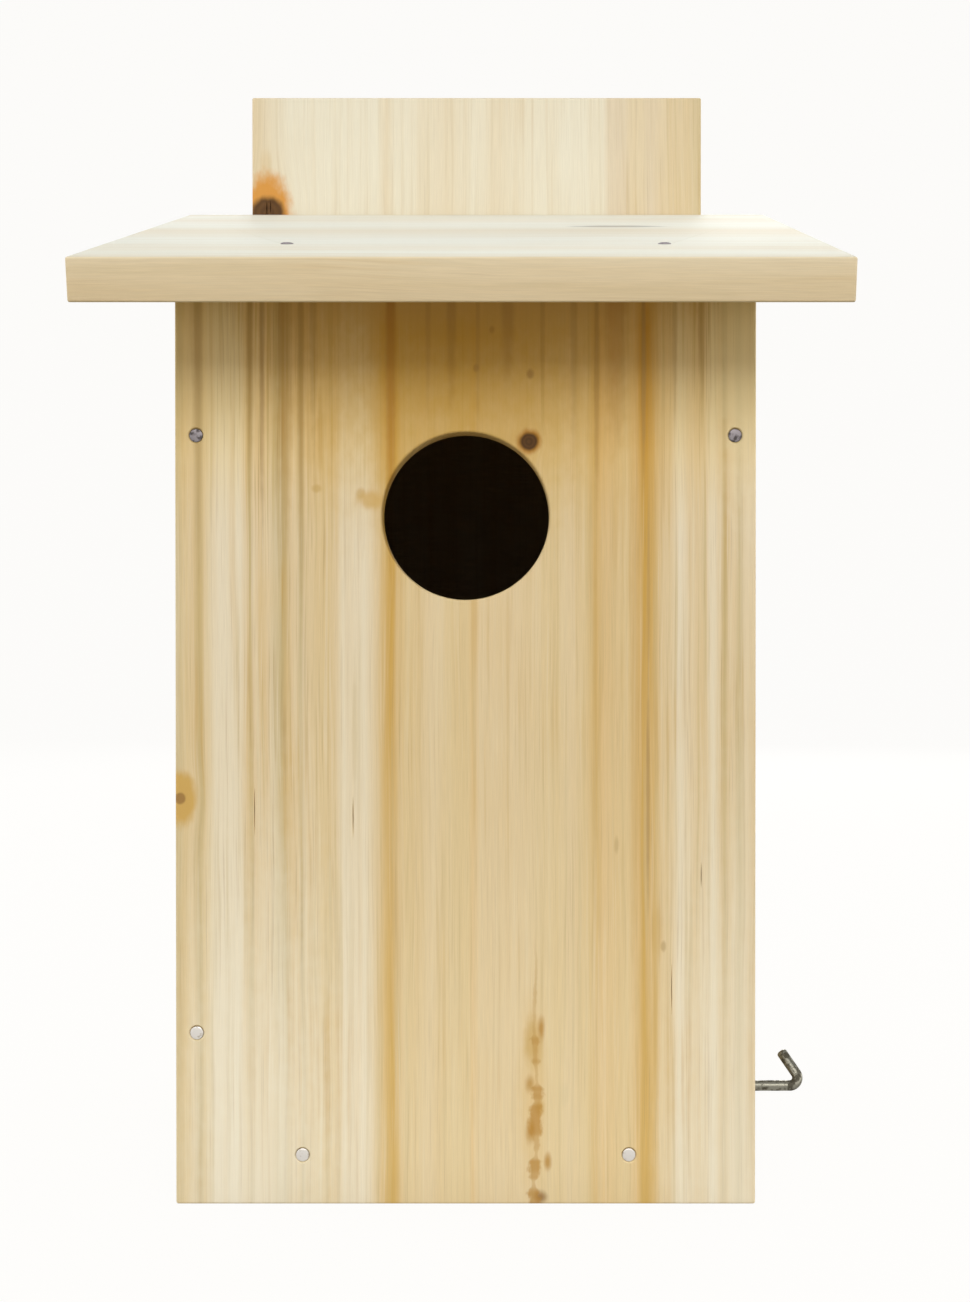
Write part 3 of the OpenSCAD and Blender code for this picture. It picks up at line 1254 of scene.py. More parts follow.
def ease(
    mesh: bmesh.types.BMesh,
    edges: list[bmesh.types.BMEdge],
    size: float,
    steps: int,
    clamped: bool = False,
) -> None:
    """Eases or clips edges.

    Args:
        mesh: The shape.
        edges: Its edges that are cut.
        size: How far the cut reaches from the edge.
        steps: Number of facets across the cut.
        clamped: Whether the cut stops short of its neighbours.
    """
    bmesh.ops.bevel(
        mesh,
        geom=edges,
        offset=size,
        affect="EDGES",
        segments=steps,
        profile=0.5,
        material=-1,
        clamp_overlap=clamped,
    )


def roof_pitch() -> float:
    """Reads the roof's slope off its largest face, in radians."""
    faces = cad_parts["roof_board"].data.polygons
    normal = max(faces, key=lambda face: face.area).normal
    return math.atan2(abs(normal.y), abs(normal.z))


def nest_cavity(pitch: float) -> Cavity:
    """Measures the nest cavity between the boards.

    Args:
        pitch: The roof's slope in radians.

    Returns:
        The cavity.
    """
    _, roof_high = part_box("roof_board")
    under_rear = roof_high.z - BOARD_THICKNESS / math.cos(pitch)
    return Cavity(
        half_width=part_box("side_door")[0].x / MM,
        front=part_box("front_panel")[1].y / MM,
        back=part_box("mounting_board")[0].y / MM,
        floor=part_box("floor_board")[1].z / MM,
        ceiling=(under_rear - roof_high.y * math.tan(pitch)) / MM,
        slope=math.tan(pitch),
    )


def hook_place() -> Matrix:
    """Finds where the hook's axis leaves the front panel's edge, with +Z pointing out of it."""
    low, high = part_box("front_panel")
    wire_low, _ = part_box("latch_hook")
    height = wire_low.z + HookWire.wire_radius
    return Matrix.Translation((high.x, (low.y + high.y) / 2, height)) @ Matrix.Rotation(math.pi / 2, 4, "Y")


# ---------------------------------------------------------------- nails


class Drive(Enum):
    """The side that a nail is driven from, as the axis and angle that turn a nail pointing down."""

    FROM_FRONT = ("X", 90.0, 0.0)
    FROM_REAR = ("X", -90.0, 0.0)
    FROM_LEFT = ("Y", -90.0, 0.0)
    FROM_TOP = ("X", 0.0, 0.0)
    DOWN_SLOPE = ("X", -90.0, 1.0)

    def turn(self, pitch: float) -> Matrix:
        """Gives the turn of the nail.

        Args:
            pitch: The roof's slope in radians, which a nail along the roof follows.

        Returns:
            The rotation.
        """
        axis, angle, slope = self.value
        return Matrix.Rotation(math.radians(angle) + slope * pitch, 4, axis)


@dataclass
class Nail:
    """One wire nail, placed where its node in the frame is.

    Attributes:
        node: The CAD node that it stands for.
        drive: The side that it is driven from.
        boards: The CAD nodes of the two boards that it joins.
        finish: Its steel.
        shank_radius: Radius of its shank, in metres as all its sizes.
        head_radius: Radius of its head.
        length: Its whole length.
        point: Length of its point.
        crown: Rise of the head's middle over its rim.
        rim: How far the head's rim is rounded.
        head_depth: Thickness of the head at its rim.
        neck: Where the head's underside meets the shank.
        tip_radius: Radius at which the point turns blunt.
        blunt: Length of the blunt part.
        grips: Number of grip rings on the neck.
        grip_start: Depth of the first ring.
        grip_gap: Distance from one ring to the next.
        groove: Depth of a ring's groove.
        crush: How far beyond the head the wood is crushed, at the surface.
        cutter_top: How far the hole's cutter stands out of the wood.
    """

    node: str
    drive: Drive
    boards: tuple[str, str]
    finish: Steel
    shank_radius: float = 0.9 * MM
    head_radius: float = 1.5 * MM
    length: float = 28.0 * MM
    point: float = 2.5 * MM
    crown: float = 0.07 * MM
    rim: float = 0.12 * MM
    head_depth: float = 0.5 * MM
    neck: float = 1.2 * MM
    tip_radius: float = 0.3 * MM
    blunt: float = 0.6 * MM
    grips: int = 5
    grip_start: float = 1.8 * MM
    grip_gap: float = 0.7 * MM
    groove: float = 0.07 * MM
    crush: float = 0.3 * MM
    cutter_top: float = 1.5 * MM

    def place(self, pitch: float) -> Matrix:
        """Finds the middle of the nail's head in the frame.

        Args:
            pitch: The roof's slope in radians.

        Returns:
            The matrix that takes a nail from the origin, pointing down, to its place.
        """
        turn = self.drive.turn(pitch)
        ahead = turn.to_3x3() @ Vector((0, 0, -1))
        corners = [vertex.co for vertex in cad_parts[self.node].data.vertices]
        nearest = min(corner.dot(ahead) for corner in corners)
        head = [corner for corner in corners if corner.dot(ahead) < nearest + 0.01 * MM]
        middle = [(min(axis) + max(axis)) / 2 for axis in zip(*head)]
        return Matrix.Translation(middle) @ turn

    def build(self, pitch: float) -> bpy.types.Object:
        """Builds the nail: a crowned head, grip rings on its neck, and a point.

        Args:
            pitch: The roof's slope in radians.

        Returns:
            The nail.
        """
        head, shank, crown, rim = self.head_radius, self.shank_radius, self.crown, self.rim
        outline = [(0.0, 0.0), (head * 0.4, -crown * 0.2), (head * 0.75, -crown * 0.6), (head - rim, -crown)]
        outline += [(head - rim * 0.3, -crown - rim * 0.3), (head, -crown - rim), (head, -self.head_depth)]
        outline.append((shank, -self.neck))
        for ring in range(self.grips):
            top = -self.grip_start - self.grip_gap * ring
            outline += [(shank, top), (shank - self.groove, top - self.groove)]
            outline.append((shank, top - 4 * self.groove))
        outline += [(shank, self.point - self.length), (self.tip_radius, self.blunt - self.length)]
        outline.append((0.0, -self.length))
        nail = keep(turned(outline, self.place(pitch)), self.node.replace("_", "-"), self.finish.material())
        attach(nail, HOUSE)
        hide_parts(self.node)
        return nail

    def hole(self, pitch: float, play: float) -> bmesh.types.BMesh:
        """Builds the cutter for the hole that the nail sits in, with a crushed rim.

        Args:
            pitch: The roof's slope in radians.
            play: Radial gap round the nail.

        Returns:
            The cutter.
        """
        head, shank = self.head_radius + play + 0.04 * MM, self.shank_radius + play
        top, wide = self.cutter_top, head + self.crush
        outline = [(0.0, top), (wide + self.crush, top), (wide, 0.1 * MM)]
        outline += [(head + 0.08 * MM, -0.12 * MM), (head, -0.3 * MM), (head, -self.head_depth - play)]
        outline += [(shank, -self.neck - play), (shank, self.point - self.length)]
        outline.append((0.0, -self.length - play - 0.05 * MM))
        return turned(outline, self.place(pitch), DRILL_STEPS)


NAIL_ROWS = (
    ("nail_front_left_upper", Drive.FROM_FRONT, ("front_panel", "left_side"), DULL_STEEL),
    ("nail_front_left_lower", Drive.FROM_FRONT, ("front_panel", "left_side"), NAIL_STEEL),
    ("nail_front_floor_left", Drive.FROM_FRONT, ("front_panel", "floor_board"), NAIL_STEEL),
    ("nail_front_floor_right", Drive.FROM_FRONT, ("front_panel", "floor_board"), NAIL_STEEL),
    ("nail_back_left_upper", Drive.FROM_REAR, ("mounting_board", "left_side"), DULL_STEEL),
    ("nail_back_left_lower", Drive.FROM_REAR, ("mounting_board", "left_side"), NAIL_STEEL),
    ("nail_back_floor_left", Drive.FROM_REAR, ("mounting_board", "floor_board"), NAIL_STEEL),
    ("nail_back_floor_right", Drive.FROM_REAR, ("mounting_board", "floor_board"), NAIL_STEEL),
    ("nail_back_roof_left", Drive.DOWN_SLOPE, ("mounting_board", "roof_board"), DULL_STEEL),
    ("nail_back_roof_right", Drive.DOWN_SLOPE, ("mounting_board", "roof_board"), DULL_STEEL),
    ("nail_roof_front_left", Drive.FROM_TOP, ("roof_board", "front_panel"), DULL_STEEL),
    ("nail_roof_front_right", Drive.FROM_TOP, ("roof_board", "front_panel"), DULL_STEEL),
    ("nail_side_floor_front", Drive.FROM_LEFT, ("left_side", "floor_board"), NAIL_STEEL),
    ("nail_side_floor_rear", Drive.FROM_LEFT, ("left_side", "floor_board"), NAIL_STEEL),
    ("pivot_nail_front", Drive.FROM_FRONT, ("front_panel", "side_door"), DULL_STEEL),
    ("pivot_nail_rear", Drive.FROM_REAR, ("mounting_board", "side_door"), DULL_STEEL),
)


# ---------------------------------------------------------------- hook


@dataclass
class HookWire:
    """The turn hook: a screw that runs on as a bent wire.

    It is made lying along +X, bent in the XY plane, and then stood up in the front panel's edge.

    Attributes:
        wire_radius: Radius of the wire, in metres as all its sizes.
        reach: Straight stretch of the shank outside the wood.
        arm: Straight length of the arm beyond the bend.
        bend_radius: Radius of the bend, along the middle of the wire.
        bend: Turn of the bend, in degrees.
        lean: Lean of the arm towards the back, in degrees.
        screw: Length inside the wood.
        tip: Pointed part of that length.
        core_radius: Radius of the screw between its threads.
        thread_rise: How far the screw climbs in one turn.
        turns: Number of turns of the thread.
        neck: Length over which the wire narrows to the screw's core.
        blunt: Length that the screw's point lacks to be sharp.
        tip_scale: How wide the blunt point is, as a share of the core.
        chamfer: Length of each of the two steps that ease the arm's end.
        chamfer_scales: How much narrower each of those steps ends.
        ridge_start: How far the thread starts from the pointed part.
        ridge_width: Half the width of the thread's ridge at its foot.
        ridge_sink: How far the ridge's foot sits in the core.
        ridge_drop: How far its crest stays under the wire's surface.
        sides: Steps round the wire.
        bend_steps: Steps along the bend.
        thread_steps: Steps along one turn of the thread.
    """

    wire_radius: float = 1.2 * MM
    reach: float = 8.4 * MM
    arm: float = 6.0 * MM
    bend_radius: float = 1.9 * MM
    bend: float = 122.0
    lean: float = 26.0
    screw: float = 14.0 * MM
    tip: float = 3.0 * MM
    core_radius: float = 0.85 * MM
    thread_rise: float = 1.1 * MM
    turns: int = 8
    neck: float = 0.35 * MM
    blunt: float = 0.2 * MM
    tip_scale: float = 0.12
    chamfer: float = 0.25 * MM
    chamfer_scales: tuple[float, float] = (0.93, 0.72)
    ridge_start: float = 0.4 * MM
    ridge_width: float = 0.3 * MM
    ridge_sink: float = 0.05 * MM
    ridge_drop: float = 0.02 * MM
    sides: int = 28
    bend_steps: int = 18
    thread_steps: int = 24

    @staticmethod
    def stretch(mesh: bmesh.types.BMesh, loop: list, move: Vector, scale: float = 1.0) -> list:
        """Draws the wire out from one of its open ends.

        Args:
            mesh: The wire.
            loop: The edges of the open end.
            move: How far the new end lies from the old one.
            scale: How much wider the new end is.

        Returns:
            The edges of the new end.
        """
        grown = bmesh.ops.extrude_edge_only(mesh, edges=loop)["geom"]
        points = [item for item in grown if isinstance(item, bmesh.types.BMVert)]
        bmesh.ops.translate(mesh, vec=move, verts=points)
        middle = sum((point.co for point in points), Vector()) / len(points)
        centred = Matrix.Translation(-middle)
        bmesh.ops.scale(mesh, vec=(scale, scale, scale), space=centred, verts=points)
        return [item for item in grown if isinstance(item, bmesh.types.BMEdge)]

    def _shank(self) -> bmesh.types.BMesh:
        """Draws the wire from the screw's point to the end of the arm."""
        mesh = bmesh.new()
        upright = Matrix.Rotation(math.pi / 2, 4, "Y")
        bmesh.ops.create_circle(mesh, segments=self.sides, radius=self.wire_radius, matrix=upright)
        start = list(mesh.edges)
        narrowing = self.core_radius / self.wire_radius
        core = self.stretch(mesh, start, Vector((-self.neck, 0, 0)), narrowing)
        core = self.stretch(mesh, core, Vector((self.tip - self.screw + self.neck, 0, 0)))
        core = self.stretch(mesh, core, Vector((self.blunt - self.tip, 0, 0)), self.tip_scale)
        bmesh.ops.edgeloop_fill(mesh, edges=core)
        outer = self.stretch(mesh, start, Vector((self.reach, 0, 0)))
        bent = bmesh.ops.spin(
            mesh,
            geom=outer + list({point for edge in outer for point in edge.verts}),
            cent=(self.reach, self.bend_radius, 0),
            axis=(0, 0, 1),
            angle=math.radians(self.bend),
            steps=self.bend_steps,
        )["geom_last"]
        outer = [item for item in bent if isinstance(item, bmesh.types.BMEdge)]
        ahead = Matrix.Rotation(math.radians(self.bend), 3, "Z") @ Vector((1, 0, 0))
        outer = self.stretch(mesh, outer, ahead * (self.arm - 2 * self.chamfer))
        for scale in self.chamfer_scales:
            outer = self.stretch(mesh, outer, ahead * self.chamfer, scale)
        bmesh.ops.edgeloop_fill(mesh, edges=outer)
        bmesh.ops.recalc_face_normals(mesh, faces=mesh.faces)
        return mesh

    def _thread(self) -> bmesh.types.BMesh:
        """Winds the thread's ridge round the screw."""
        mesh = bmesh.new()
        foot = self.core_radius - self.ridge_sink
        crest = self.wire_radius - self.ridge_drop
        start = self.tip - self.screw + self.ridge_start
        width = self.ridge_width
        ridge = [(start, foot), (start + width, crest), (start + 2 * width, foot)]
        points = [mesh.verts.new((x, radius, 0)) for x, radius in ridge]
        edges = [mesh.edges.new((points[index - 1], points[index])) for index in range(3)]
        steps = self.turns * self.thread_steps
        last = bmesh.ops.spin(
            mesh,
            geom=points + edges,
            cent=(0, 0, 0),
            axis=(1, 0, 0),
            dvec=(self.turns * self.thread_rise / steps, 0, 0),
            angle=math.tau * self.turns,
            steps=steps,
        )["geom_last"]
        bmesh.ops.edgeloop_fill(mesh, edges=edges)
        bmesh.ops.edgeloop_fill(mesh, edges=[item for item in last if isinstance(item, bmesh.types.BMEdge)])
        bmesh.ops.recalc_face_normals(mesh, faces=mesh.faces)
        return mesh

    def hole(self, place: Matrix, play: float) -> bmesh.types.BMesh:
        """Builds the cutter for the hole that the hook is screwed into.

        Args:
            place: Where the hook's axis leaves the wood, with +Z pointing out of it.
            play: Radial gap round the screw.

        Returns:
            The cutter.
        """
        radius = self.wire_radius + play
        outline = [(0.0, MM), (radius + 0.3 * MM, MM), (radius + 0.12 * MM, 0.05 * MM)]
        outline += [(radius, -0.25 * MM), (radius, self.tip - self.screw), (0.0, -self.screw - play)]
        return turned(outline, place, DRILL_STEPS)

    def build(self, place: Matrix) -> bpy.types.Object:
        """Builds the hook, hangs it on its body empty and hides the frame's part.

        Args:
            place: Where the hook's axis leaves the wood, with +Z pointing out of it.

        Returns:
            The hook.
        """
        mesh = self._shank()
        add_shape(mesh, self._thread())
        stand = Matrix.Rotation(math.radians(90 - self.lean), 4, "X")
        lie = Matrix.Rotation(-math.pi / 2, 4, "Y")
        bmesh.ops.transform(mesh, matrix=place @ lie @ stand, verts=mesh.verts)
        hook = keep(mesh, "turn-hook", HOOK_STEEL.material())
        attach(hook, HOOK)
        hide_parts("latch_hook")
        return hook


# ---------------------------------------------------------------- boards


@dataclass(frozen=True)
class Crack:
    """A hairline drying crack along the grain of a board's outer face, in metres.

    Attributes:
        across: Its middle across the grain.
        along: Its middle along the grain.
        length: Its length.
        width: Its width at the surface.
        depth: Its depth.
    """

    across: float
    along: float
    length: float
    width: float = 0.3 * MM
    depth: float = 0.8 * MM

    def cutter(self, face: Matrix) -> bmesh.types.BMesh:
        """Builds the thin wedge that cuts the crack.

        Args:
            face: The board's outer face, with X across the grain, Y into the wood and Z along.

        Returns:
            The cutter.
        """
        mesh = bmesh.new()
        lie = Matrix.Rotation(-math.pi / 2, 4, "X")
        bmesh.ops.create_cone(
            mesh, cap_ends=True, segments=CRACK_STEPS, radius1=2, radius2=0, depth=2, matrix=lie
        )
        size = Matrix.Diagonal((self.width / 2, self.depth, self.length / 2, 1.0))
        place = face @ Matrix.Translation((self.across, 0, self.along)) @ size
        bmesh.ops.transform(mesh, matrix=place, verts=mesh.verts)
        bmesh.ops.recalc_face_normals(mesh, faces=mesh.faces)
        return mesh


@dataclass
class Board:
    """One board: a planed blank with eased edges, drilled and cut.

    Attributes:
        node: The CAD node that it stands for.
        body: The body that it moves with.
        finish: Its wood.
        slot: A material slot name; not used.
        edge: Radius of its eased edges, in metres.
        nail_play: Radial gap round the nails in it.
        cracks: The drying cracks in its outer face.
    """

    node: str
    body: str
    finish: Pine
    slot: str
    edge: float = 0.5 * MM
    nail_play: float = 0.03 * MM
    cracks: tuple[Crack, ...] = ()

    @property
    def low(self) -> Vector:
        """The board's lowest corner."""
        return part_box(self.node)[0]

    @property
    def high(self) -> Vector:
        """The board's highest corner."""
        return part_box(self.node)[1]

    def blank(self, pitch: float) -> bmesh.types.BMesh:
        """Saws the board to its outline.

        Args:
            pitch: The roof's slope in radians.

        Returns:
            The blank, with square edges.
        """
        return block(self.low, self.high)

    def slope_top(self, mesh: bmesh.types.BMesh, pitch: float) -> bmesh.types.BMesh:
        """Saws the top of a blank along the roof, from its highest rear edge.

        Args:
            mesh: The blank.
            pitch: The roof's slope in radians.

        Returns:
            The same blank.
        """
        saw(mesh, self.high, Vector((0, -math.sin(pitch), math.cos(pitch))))
        return mesh

    def face(self) -> Matrix:
        """Gives the outer face, with X across the grain, Y into the wood and Z along."""
        return Matrix.Translation((0, self.low.y, 0))

    def cutters(self, nails: list[Nail], pitch: float, hook: HookWire) -> bmesh.types.BMesh:
        """Gathers everything that is cut out of the board.

        Args:
            nails: All the nails of the box.
            pitch: The roof's slope in radians.
            hook: The hook.

        Returns:
            The cutters, as one mesh.
        """
        tools = bmesh.new()
        for nail in nails:
            if self.node in nail.boards:
                add_shape(tools, nail.hole(pitch, self.nail_play))
        for crack in self.cracks:
            add_shape(tools, crack.cutter(self.face()))
        return tools

    def build(self, nails: list[Nail], pitch: float, hook: HookWire) -> bpy.types.Object:
        """Builds the board, hangs it on its body empty and hides the frame's part.

        Args:
            nails: All the nails of the box.
            pitch: The roof's slope in radians.
            hook: The hook.

        Returns:
            The board.
        """
        blank = self.blank(pitch)
        ease(blank, list(blank.edges), self.edge, EDGE_STEPS, clamped=True)
        wood = self.finish.material(pitch, self.face().translation, nest_cavity(pitch))
        uncut = keep(blank, self.node + "-uncut", wood)
        tools = keep(self.cutters(nails, pitch, hook), self.node + "-tools", wood)
        cut = uncut.modifiers.new("cut", "BOOLEAN")
        cut.operation = "DIFFERENCE"
        cut.solver = "EXACT"
        cut.object = tools
        finished = bmesh.new()
        finished.from_mesh(uncut.evaluated_get(bpy.context.evaluated_depsgraph_get()).to_mesh())
        bmesh.ops.remove_doubles(finished, verts=finished.verts, dist=WELD)
        for scrap in (uncut, tools):
            bpy.data.objects.remove(scrap)
        board = keep(finished, self.node.replace("_", "-"), wood)
        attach(board, self.body)
        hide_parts(self.node)
        return board


@dataclass
class FrontPanel(Board):
    """The front panel, with the entrance hole, the climbing kerfs and the hook's hole.

    Attributes:
        hole_radius: Radius of the entrance hole, in metres as all its sizes.
        hole_height: Height of the hole's centre.
        lip: Radius of the hole's eased lips.
        kerfs: Number of climbing kerfs.
        kerf_size: Width, depth and height of a kerf.
        kerf_gap: Distance from one kerf to the next.
        kerf_drop: Distance from the hole's edge down to the first kerf.
        kerf_round: Radius of a kerf's inner corners.
        hook_play: Radial gap round the hook's screw.
    """

    hole_radius: float = 19.05 * MM
    hole_height: float = 156.7 * MM
    lip: float = 0.6 * MM
    kerfs: int = 5
    kerf_size: tuple[float, float, float] = (76.0 * MM, 1.6 * MM, 1.8 * MM)
    kerf_gap: float = 12.0 * MM
    kerf_drop: float = 14.0 * MM
    kerf_round: float = 0.25 * MM
    hook_play: float = 0.06 * MM

    def blank(self, pitch: float) -> bmesh.types.BMesh:
        """Saws the panel, with its top sloped to fit under the roof."""
        return self.slope_top(super().blank(pitch), pitch)

    def cutters(self, nails: list[Nail], pitch: float, hook: HookWire) -> bmesh.types.BMesh:
        """Adds the entrance, the kerfs and the hook's hole to the cutters."""
        tools = super().cutters(nails, pitch, hook)
        add_shape(tools, self._entrance())
        for index in range(self.kerfs):
            add_shape(tools, self._kerf(index))
        add_shape(tools, hook.hole(hook_place(), self.hook_play))
        return tools

    def _entrance(self) -> bmesh.types.BMesh:
        """Builds the cutter for the entrance hole, flared a little at both faces."""
        half = (self.high.y - self.low.y) / 2
        wide = self.hole_radius + self.lip
        upper = quarter((wide, half - self.lip), self.lip, 90, LIP_STEPS)
        lower = quarter((wide, self.lip - half), self.lip, 180, LIP_STEPS)
        outline = [(0.0, half + MM), (wide, half + MM)] + upper + lower
        outline += [(wide, -half - MM), (0.0, -half - MM)]
        middle = (0, (self.low.y + self.high.y) / 2, self.hole_height)
        place = Matrix.Translation(middle) @ Matrix.Rotation(math.pi / 2, 4, "X")
        return turned(outline, place, ENTRANCE_STEPS)

    def _kerf(self, index: int) -> bmesh.types.BMesh:
        """Builds the cutter for one climbing kerf.

        Args:
            index: Its number, from the top.

        Returns:
            The cutter.
        """
        width, depth, height = self.kerf_size
        bottom = self.hole_height - self.hole_radius - self.kerf_drop - index * self.kerf_gap
        low = Vector((-width / 2, self.high.y - depth, bottom))
        mesh = block(low, Vector((width / 2, self.high.y + depth, bottom + height)))
        root = [edge for edge in mesh.edges if all(point.co.y < self.high.y for point in edge.verts)]
        ease(mesh, root, self.kerf_round, 2)
        return mesh


@dataclass
class MountingBoard(Board):
    """The long board at the back, which the box hangs by."""


@dataclass
class SideBoard(Board):
    """A side board, with its top sloped along the roof."""

    def blank(self, pitch: float) -> bmesh.types.BMesh:
        """Saws the board, with its top sloped along the roof."""
        return self.slope_top(super().blank(pitch), pitch)

    def face(self) -> Matrix:
        """Gives the outer face, with X across the grain, Y into the wood and Z along."""
        left = self.low.x < 0
        inward = Vector((1 if left else -1, 0, 0))
        turn = Matrix((Vector((0, 1, 0)), inward, Vector((0, 0, 1)))).transposed().to_4x4()
        return Matrix.Translation((self.low.x if left else self.high.x, 0, 0)) @ turn


@dataclass
class FloorBoard(Board):
    """The floor, with its corners clipped so that water drains.

    Attributes:
        clip: The length clipped off both sides of a corner, in metres.
    """

    clip: float = 10.0 * MM

    def blank(self, pitch: float) -> bmesh.types.BMesh:
        """Saws the floor and clips its corners."""
        mesh = super().blank(pitch)
        upright = [edge for edge in mesh.edges if abs(edge.verts[0].co.z - edge.verts[1].co.z) > MM]
        ease(mesh, upright, self.clip, 1)
        return mesh

    def face(self) -> Matrix:
        """Gives the upper face, with X across the grain, Y into the wood and Z along."""
        turn = Matrix((Vector((0, 1, 0)), Vector((0, 0, -1)), Vector((1, 0, 0)))).transposed().to_4x4()
        return Matrix.Translation((0, 0, self.high.z)) @ turn


@dataclass
class RoofBoard(Board):
    """The roof board, square-cut in front and cut upright at the rear."""

    def blank(self, pitch: float) -> bmesh.types.BMesh:
        """Saws the sloping board."""
        low, high = self.low, self.high
        mesh = super().blank(pitch)
        upward = Vector((0, -math.sin(pitch), math.cos(pitch)))
        forward = Vector((0, -math.cos(pitch), -math.sin(pitch)))
        front_edge = Vector((0, low.y, high.z - (high.y - low.y) * math.tan(pitch)))
        saw(mesh, high, upward)
        saw(mesh, high - upward * BOARD_THICKNESS, -upward)
        saw(mesh, front_edge, forward)
        return mesh

    def face(self) -> Matrix:
        """Gives the upper face's rear edge, from which the slope is measured."""
        return Matrix.Translation((0, self.high.y, self.high.z))


FRONT_CRACKS = (
    Crack(-25.6 * MM, 88.0 * MM, 10.0 * MM),
    Crack(-48.0 * MM, 89.5 * MM, 11.0 * MM, 0.2 * MM),
    Crack(53.6 * MM, 75.0 * MM, 6.0 * MM, 0.2 * MM),
    Crack(46.9 * MM, 49.0 * MM, 12.0 * MM, 0.2 * MM),
)
BACK_CRACKS = (
    Crack(-60.8 * MM, 252.6 * MM, 5.0 * MM, 0.35 * MM),
    Crack(-59.7 * MM, 253.4 * MM, 3.5 * MM, 0.3 * MM),
)


# ---------------------------------------------------------------- the whole box


@dataclass
class NestBox:
    """The whole box: six boards, sixteen nails and a hook.

    Attributes:
        nails: The nails.
        boards: The boards.
        hook: The hook.
    """

    nails: list[Nail] = field(default_factory=list)
    boards: list[Board] = field(default_factory=list)
    hook: HookWire = field(default_factory=HookWire)

    def __post_init__(self) -> None:
        """Lists the nails and the boards."""
        self.nails = [Nail(*row) for row in NAIL_ROWS]
        self.boards = [
            FrontPanel("front_panel", HOUSE, FRONT_PINE, "front_pine", cracks=FRONT_CRACKS),
            MountingBoard("mounting_board", HOUSE, BACK_PINE, "back_pine", cracks=BACK_CRACKS),
            SideBoard("left_side", HOUSE, LEFT_PINE, "side_pine"),
            SideBoard("side_door", DOOR, DOOR_PINE, "side_pine", nail_play=0.08 * MM),
            FloorBoard("floor_board", HOUSE, FLOOR_PINE, "side_pine"),
            RoofBoard("roof_board", HOUSE, ROOF_PINE, "roof_pine"),
        ]

    def build(self) -> None:
        """Builds and reports every piece."""
        pitch = roof_pitch()
        for board in self.boards:
            report(board.build(self.nails, pitch, self.hook))
        for nail in self.nails:
            report(nail.build(pitch))
        report(self.hook.build(hook_place()))


def report(piece: bpy.types.Object) -> None:
    """Reports one finished piece."""
    log.info("%s: %d faces", piece.name, len(piece.data.polygons))


# ---------------------------------------------------------------- stage


@dataclass(frozen=True)
class Lamp:
    """A large soft light without a visible face.

    Attributes:
        name: Its name.
        place: Where it stands, in metres.
        aim: The point that it faces.
        size: Its width and height.
        power: Its power in watts.
        tint: Its colour.
    """

    name: str
    place: tuple[float, float, float]
    aim: tuple[float, float, float]
    size: tuple[float, float]
    power: float
    tint: tuple[float, float, float] = (1.0, 0.99, 0.97)

    def build(self) -> bpy.types.Object:
        """Sets the lamp up.

        Returns:
            The light.
        """
        data = bpy.data.lights.new(self.name, "AREA")
        data.shape = "RECTANGLE"
        data.size, data.size_y = self.size
        data.energy = self.power
        data.color = self.tint
        lamp = bpy.data.objects.new(self.name, data)
        lamp.location = self.place
        view = Vector(self.aim) - Vector(self.place)
        lamp.rotation_euler = view.to_track_quat("-Z", "Y").to_euler()
        lamp.visible_camera = False
        bpy.context.scene.collection.objects.link(lamp)
        return lamp


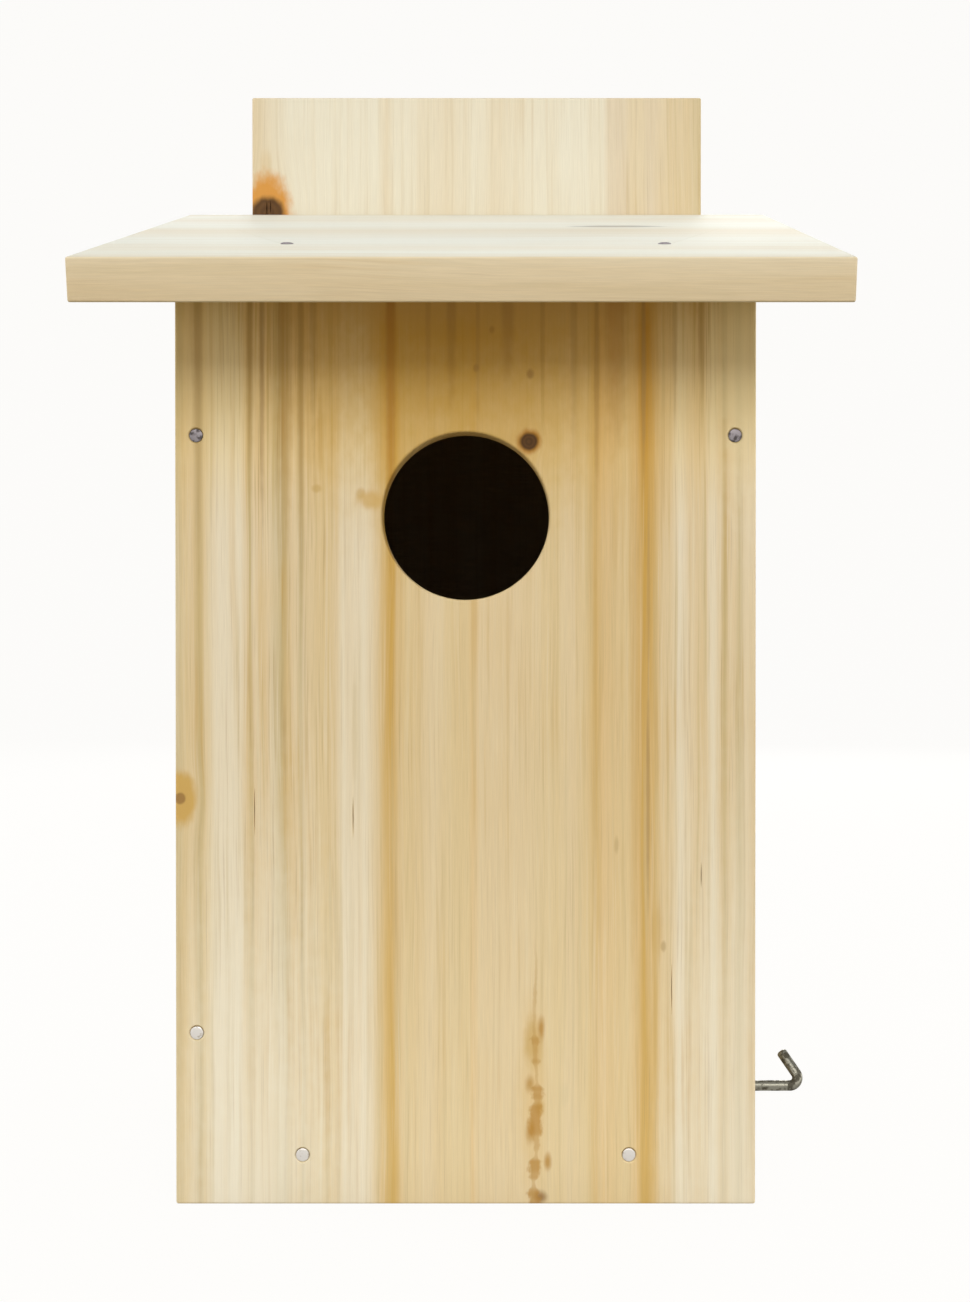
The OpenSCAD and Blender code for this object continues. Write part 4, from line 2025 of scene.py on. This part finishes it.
@dataclass
class Studio:
    """The pale round floor that curves up into a wall, the lights and the camera.

    Attributes:
        floor_radius: Radius of the flat floor.
        middle: Radius of the floor's middle part.
        sweep: Radius of the curve between floor and wall.
        wall: Height of the wall above the curve.
        lens: Focal length, in millimetres.
        sensor: Width of the sensor, in millimetres.
        eye_side: How far the camera stands to the right of the middle.
        eye_reach: Its distance in front of the front panel.
        eye_height: Its height above the floor.
        tilt: How far it looks down, in degrees.
        shift: Sideways shift of the picture, as a share of its longer side.
        lamps: The lamps.
        light_below: Strength of the room's even light from below the horizon.
        light_above: Its strength from above.
        horizon: Heights between which its light changes from one to the other.
        tint_below: Colour of its light from below.
        tint_above: Colour of its light from above.
        near: Distance from the lens at which things begin to show.
    """

    floor_radius: float = 2.6
    middle: float = 0.6
    sweep: float = 1.4
    wall: float = 1.2
    lens: float = 56.93
    sensor: float = 36.0
    eye_side: float = 0.0117
    eye_reach: float = 0.468
    eye_height: float = 0.1306
    tilt: float = 0.56
    shift: float = -0.0246
    lamps: tuple[Lamp, ...] = (
        Lamp("key", (0.1, -1.5, 0.95), (0.0, 0.0, 0.12), (1.3, 0.8), 14.5),
        Lamp("front_left", (-1.3, -0.8, 0.32), (0.0, 0.0, 0.12), (0.8, 0.6), 3.6),
        Lamp("front_right", (1.3, -0.8, 0.32), (0.0, 0.0, 0.12), (0.8, 0.6), 3.9),
        Lamp("overhead", (0.0, 0.1, 1.6), (0.0, 0.0, 0.1), (1.6, 1.6), 4.0),
        Lamp("left", (-1.5, 0.2, 0.6), (0.0, 0.0, 0.12), (0.9, 0.9), 8.0),
        Lamp("right", (1.5, 0.4, 0.6), (0.0, 0.0, 0.12), (0.9, 0.9), 8.0),
        Lamp("rear", (0.2, 1.6, 0.7), (0.0, 0.0, 0.12), (1.0, 0.8), 13.0),
    )
    light_below: float = 0.3
    light_above: float = 0.45
    horizon: tuple[float, float] = (-0.15, 0.35)
    tint_below: Colour = (1.0, 0.8, 0.46, 1.0)
    tint_above: Colour = (0.9, 0.98, 1.06, 1.0)
    near: float = 0.01

    def build(self) -> None:
        """Sets up the stage."""
        self._backdrop()
        for lamp in self.lamps:
            lamp.build()
        self._room()
        bpy.context.scene.view_settings.view_transform = "Standard"
        self._camera()

    def _room(self) -> None:
        """Fills the room with even light, weaker from below."""
        world = bpy.data.worlds.new("room")
        bpy.context.scene.world = world
        shader = Shader(world)
        direction = shader.node("ShaderNodeTexCoord").outputs["Generated"]
        height = Number(shader, shader.node("ShaderNodeSeparateXYZ", {}, {0: direction}).outputs[2])
        upward = shader.step(height, *self.horizon)
        strength = upward * (self.light_above - self.light_below) + self.light_below
        tint = shader.mix(upward, self.tint_below, self.tint_above)
        glow = shader.node("ShaderNodeBackground", {}, {0: tint, 1: strength})
        shader.node("ShaderNodeOutputWorld", {}, {0: glow.outputs[0]})

    def _backdrop(self) -> None:
        """Builds the floor and wall."""
        bend = quarter((self.floor_radius, self.sweep), self.sweep, 270, BEND_STEPS)
        outline = [(0.0, 0.0), (self.middle, 0.0)] + bend
        outline.append((self.floor_radius + self.sweep, self.sweep + self.wall))
        mesh = turned(outline, Matrix.Identity(4), STAGE_STEPS)
        backdrop = keep(mesh, "floor", STAGE_PAPER.material())
        for face in backdrop.data.polygons:
            face.use_smooth = True
        backdrop.visible_diffuse = False
        backdrop.visible_shadow = False

    def _camera(self) -> None:
        """Sets up the camera."""
        data = bpy.data.cameras.new("camera")
        data.lens = self.lens
        data.sensor_width = self.sensor
        data.shift_x = self.shift
        data.clip_start = self.near
        camera = bpy.data.objects.new("camera", data)
        face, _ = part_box("front_panel")
        camera.location = (self.eye_side, face.y - self.eye_reach, self.eye_height)
        camera.rotation_euler = (math.radians(90 - self.tilt), 0, 0)
        bpy.context.scene.collection.objects.link(camera)
        bpy.context.scene.camera = camera


def main() -> None:
    """Builds the studio and the nest box, piece by piece."""
    logging.basicConfig(level=logging.INFO, format="%(name)s %(message)s")
    Studio().build()
    NestBox().build()


if __name__ == "__main__":
    main()
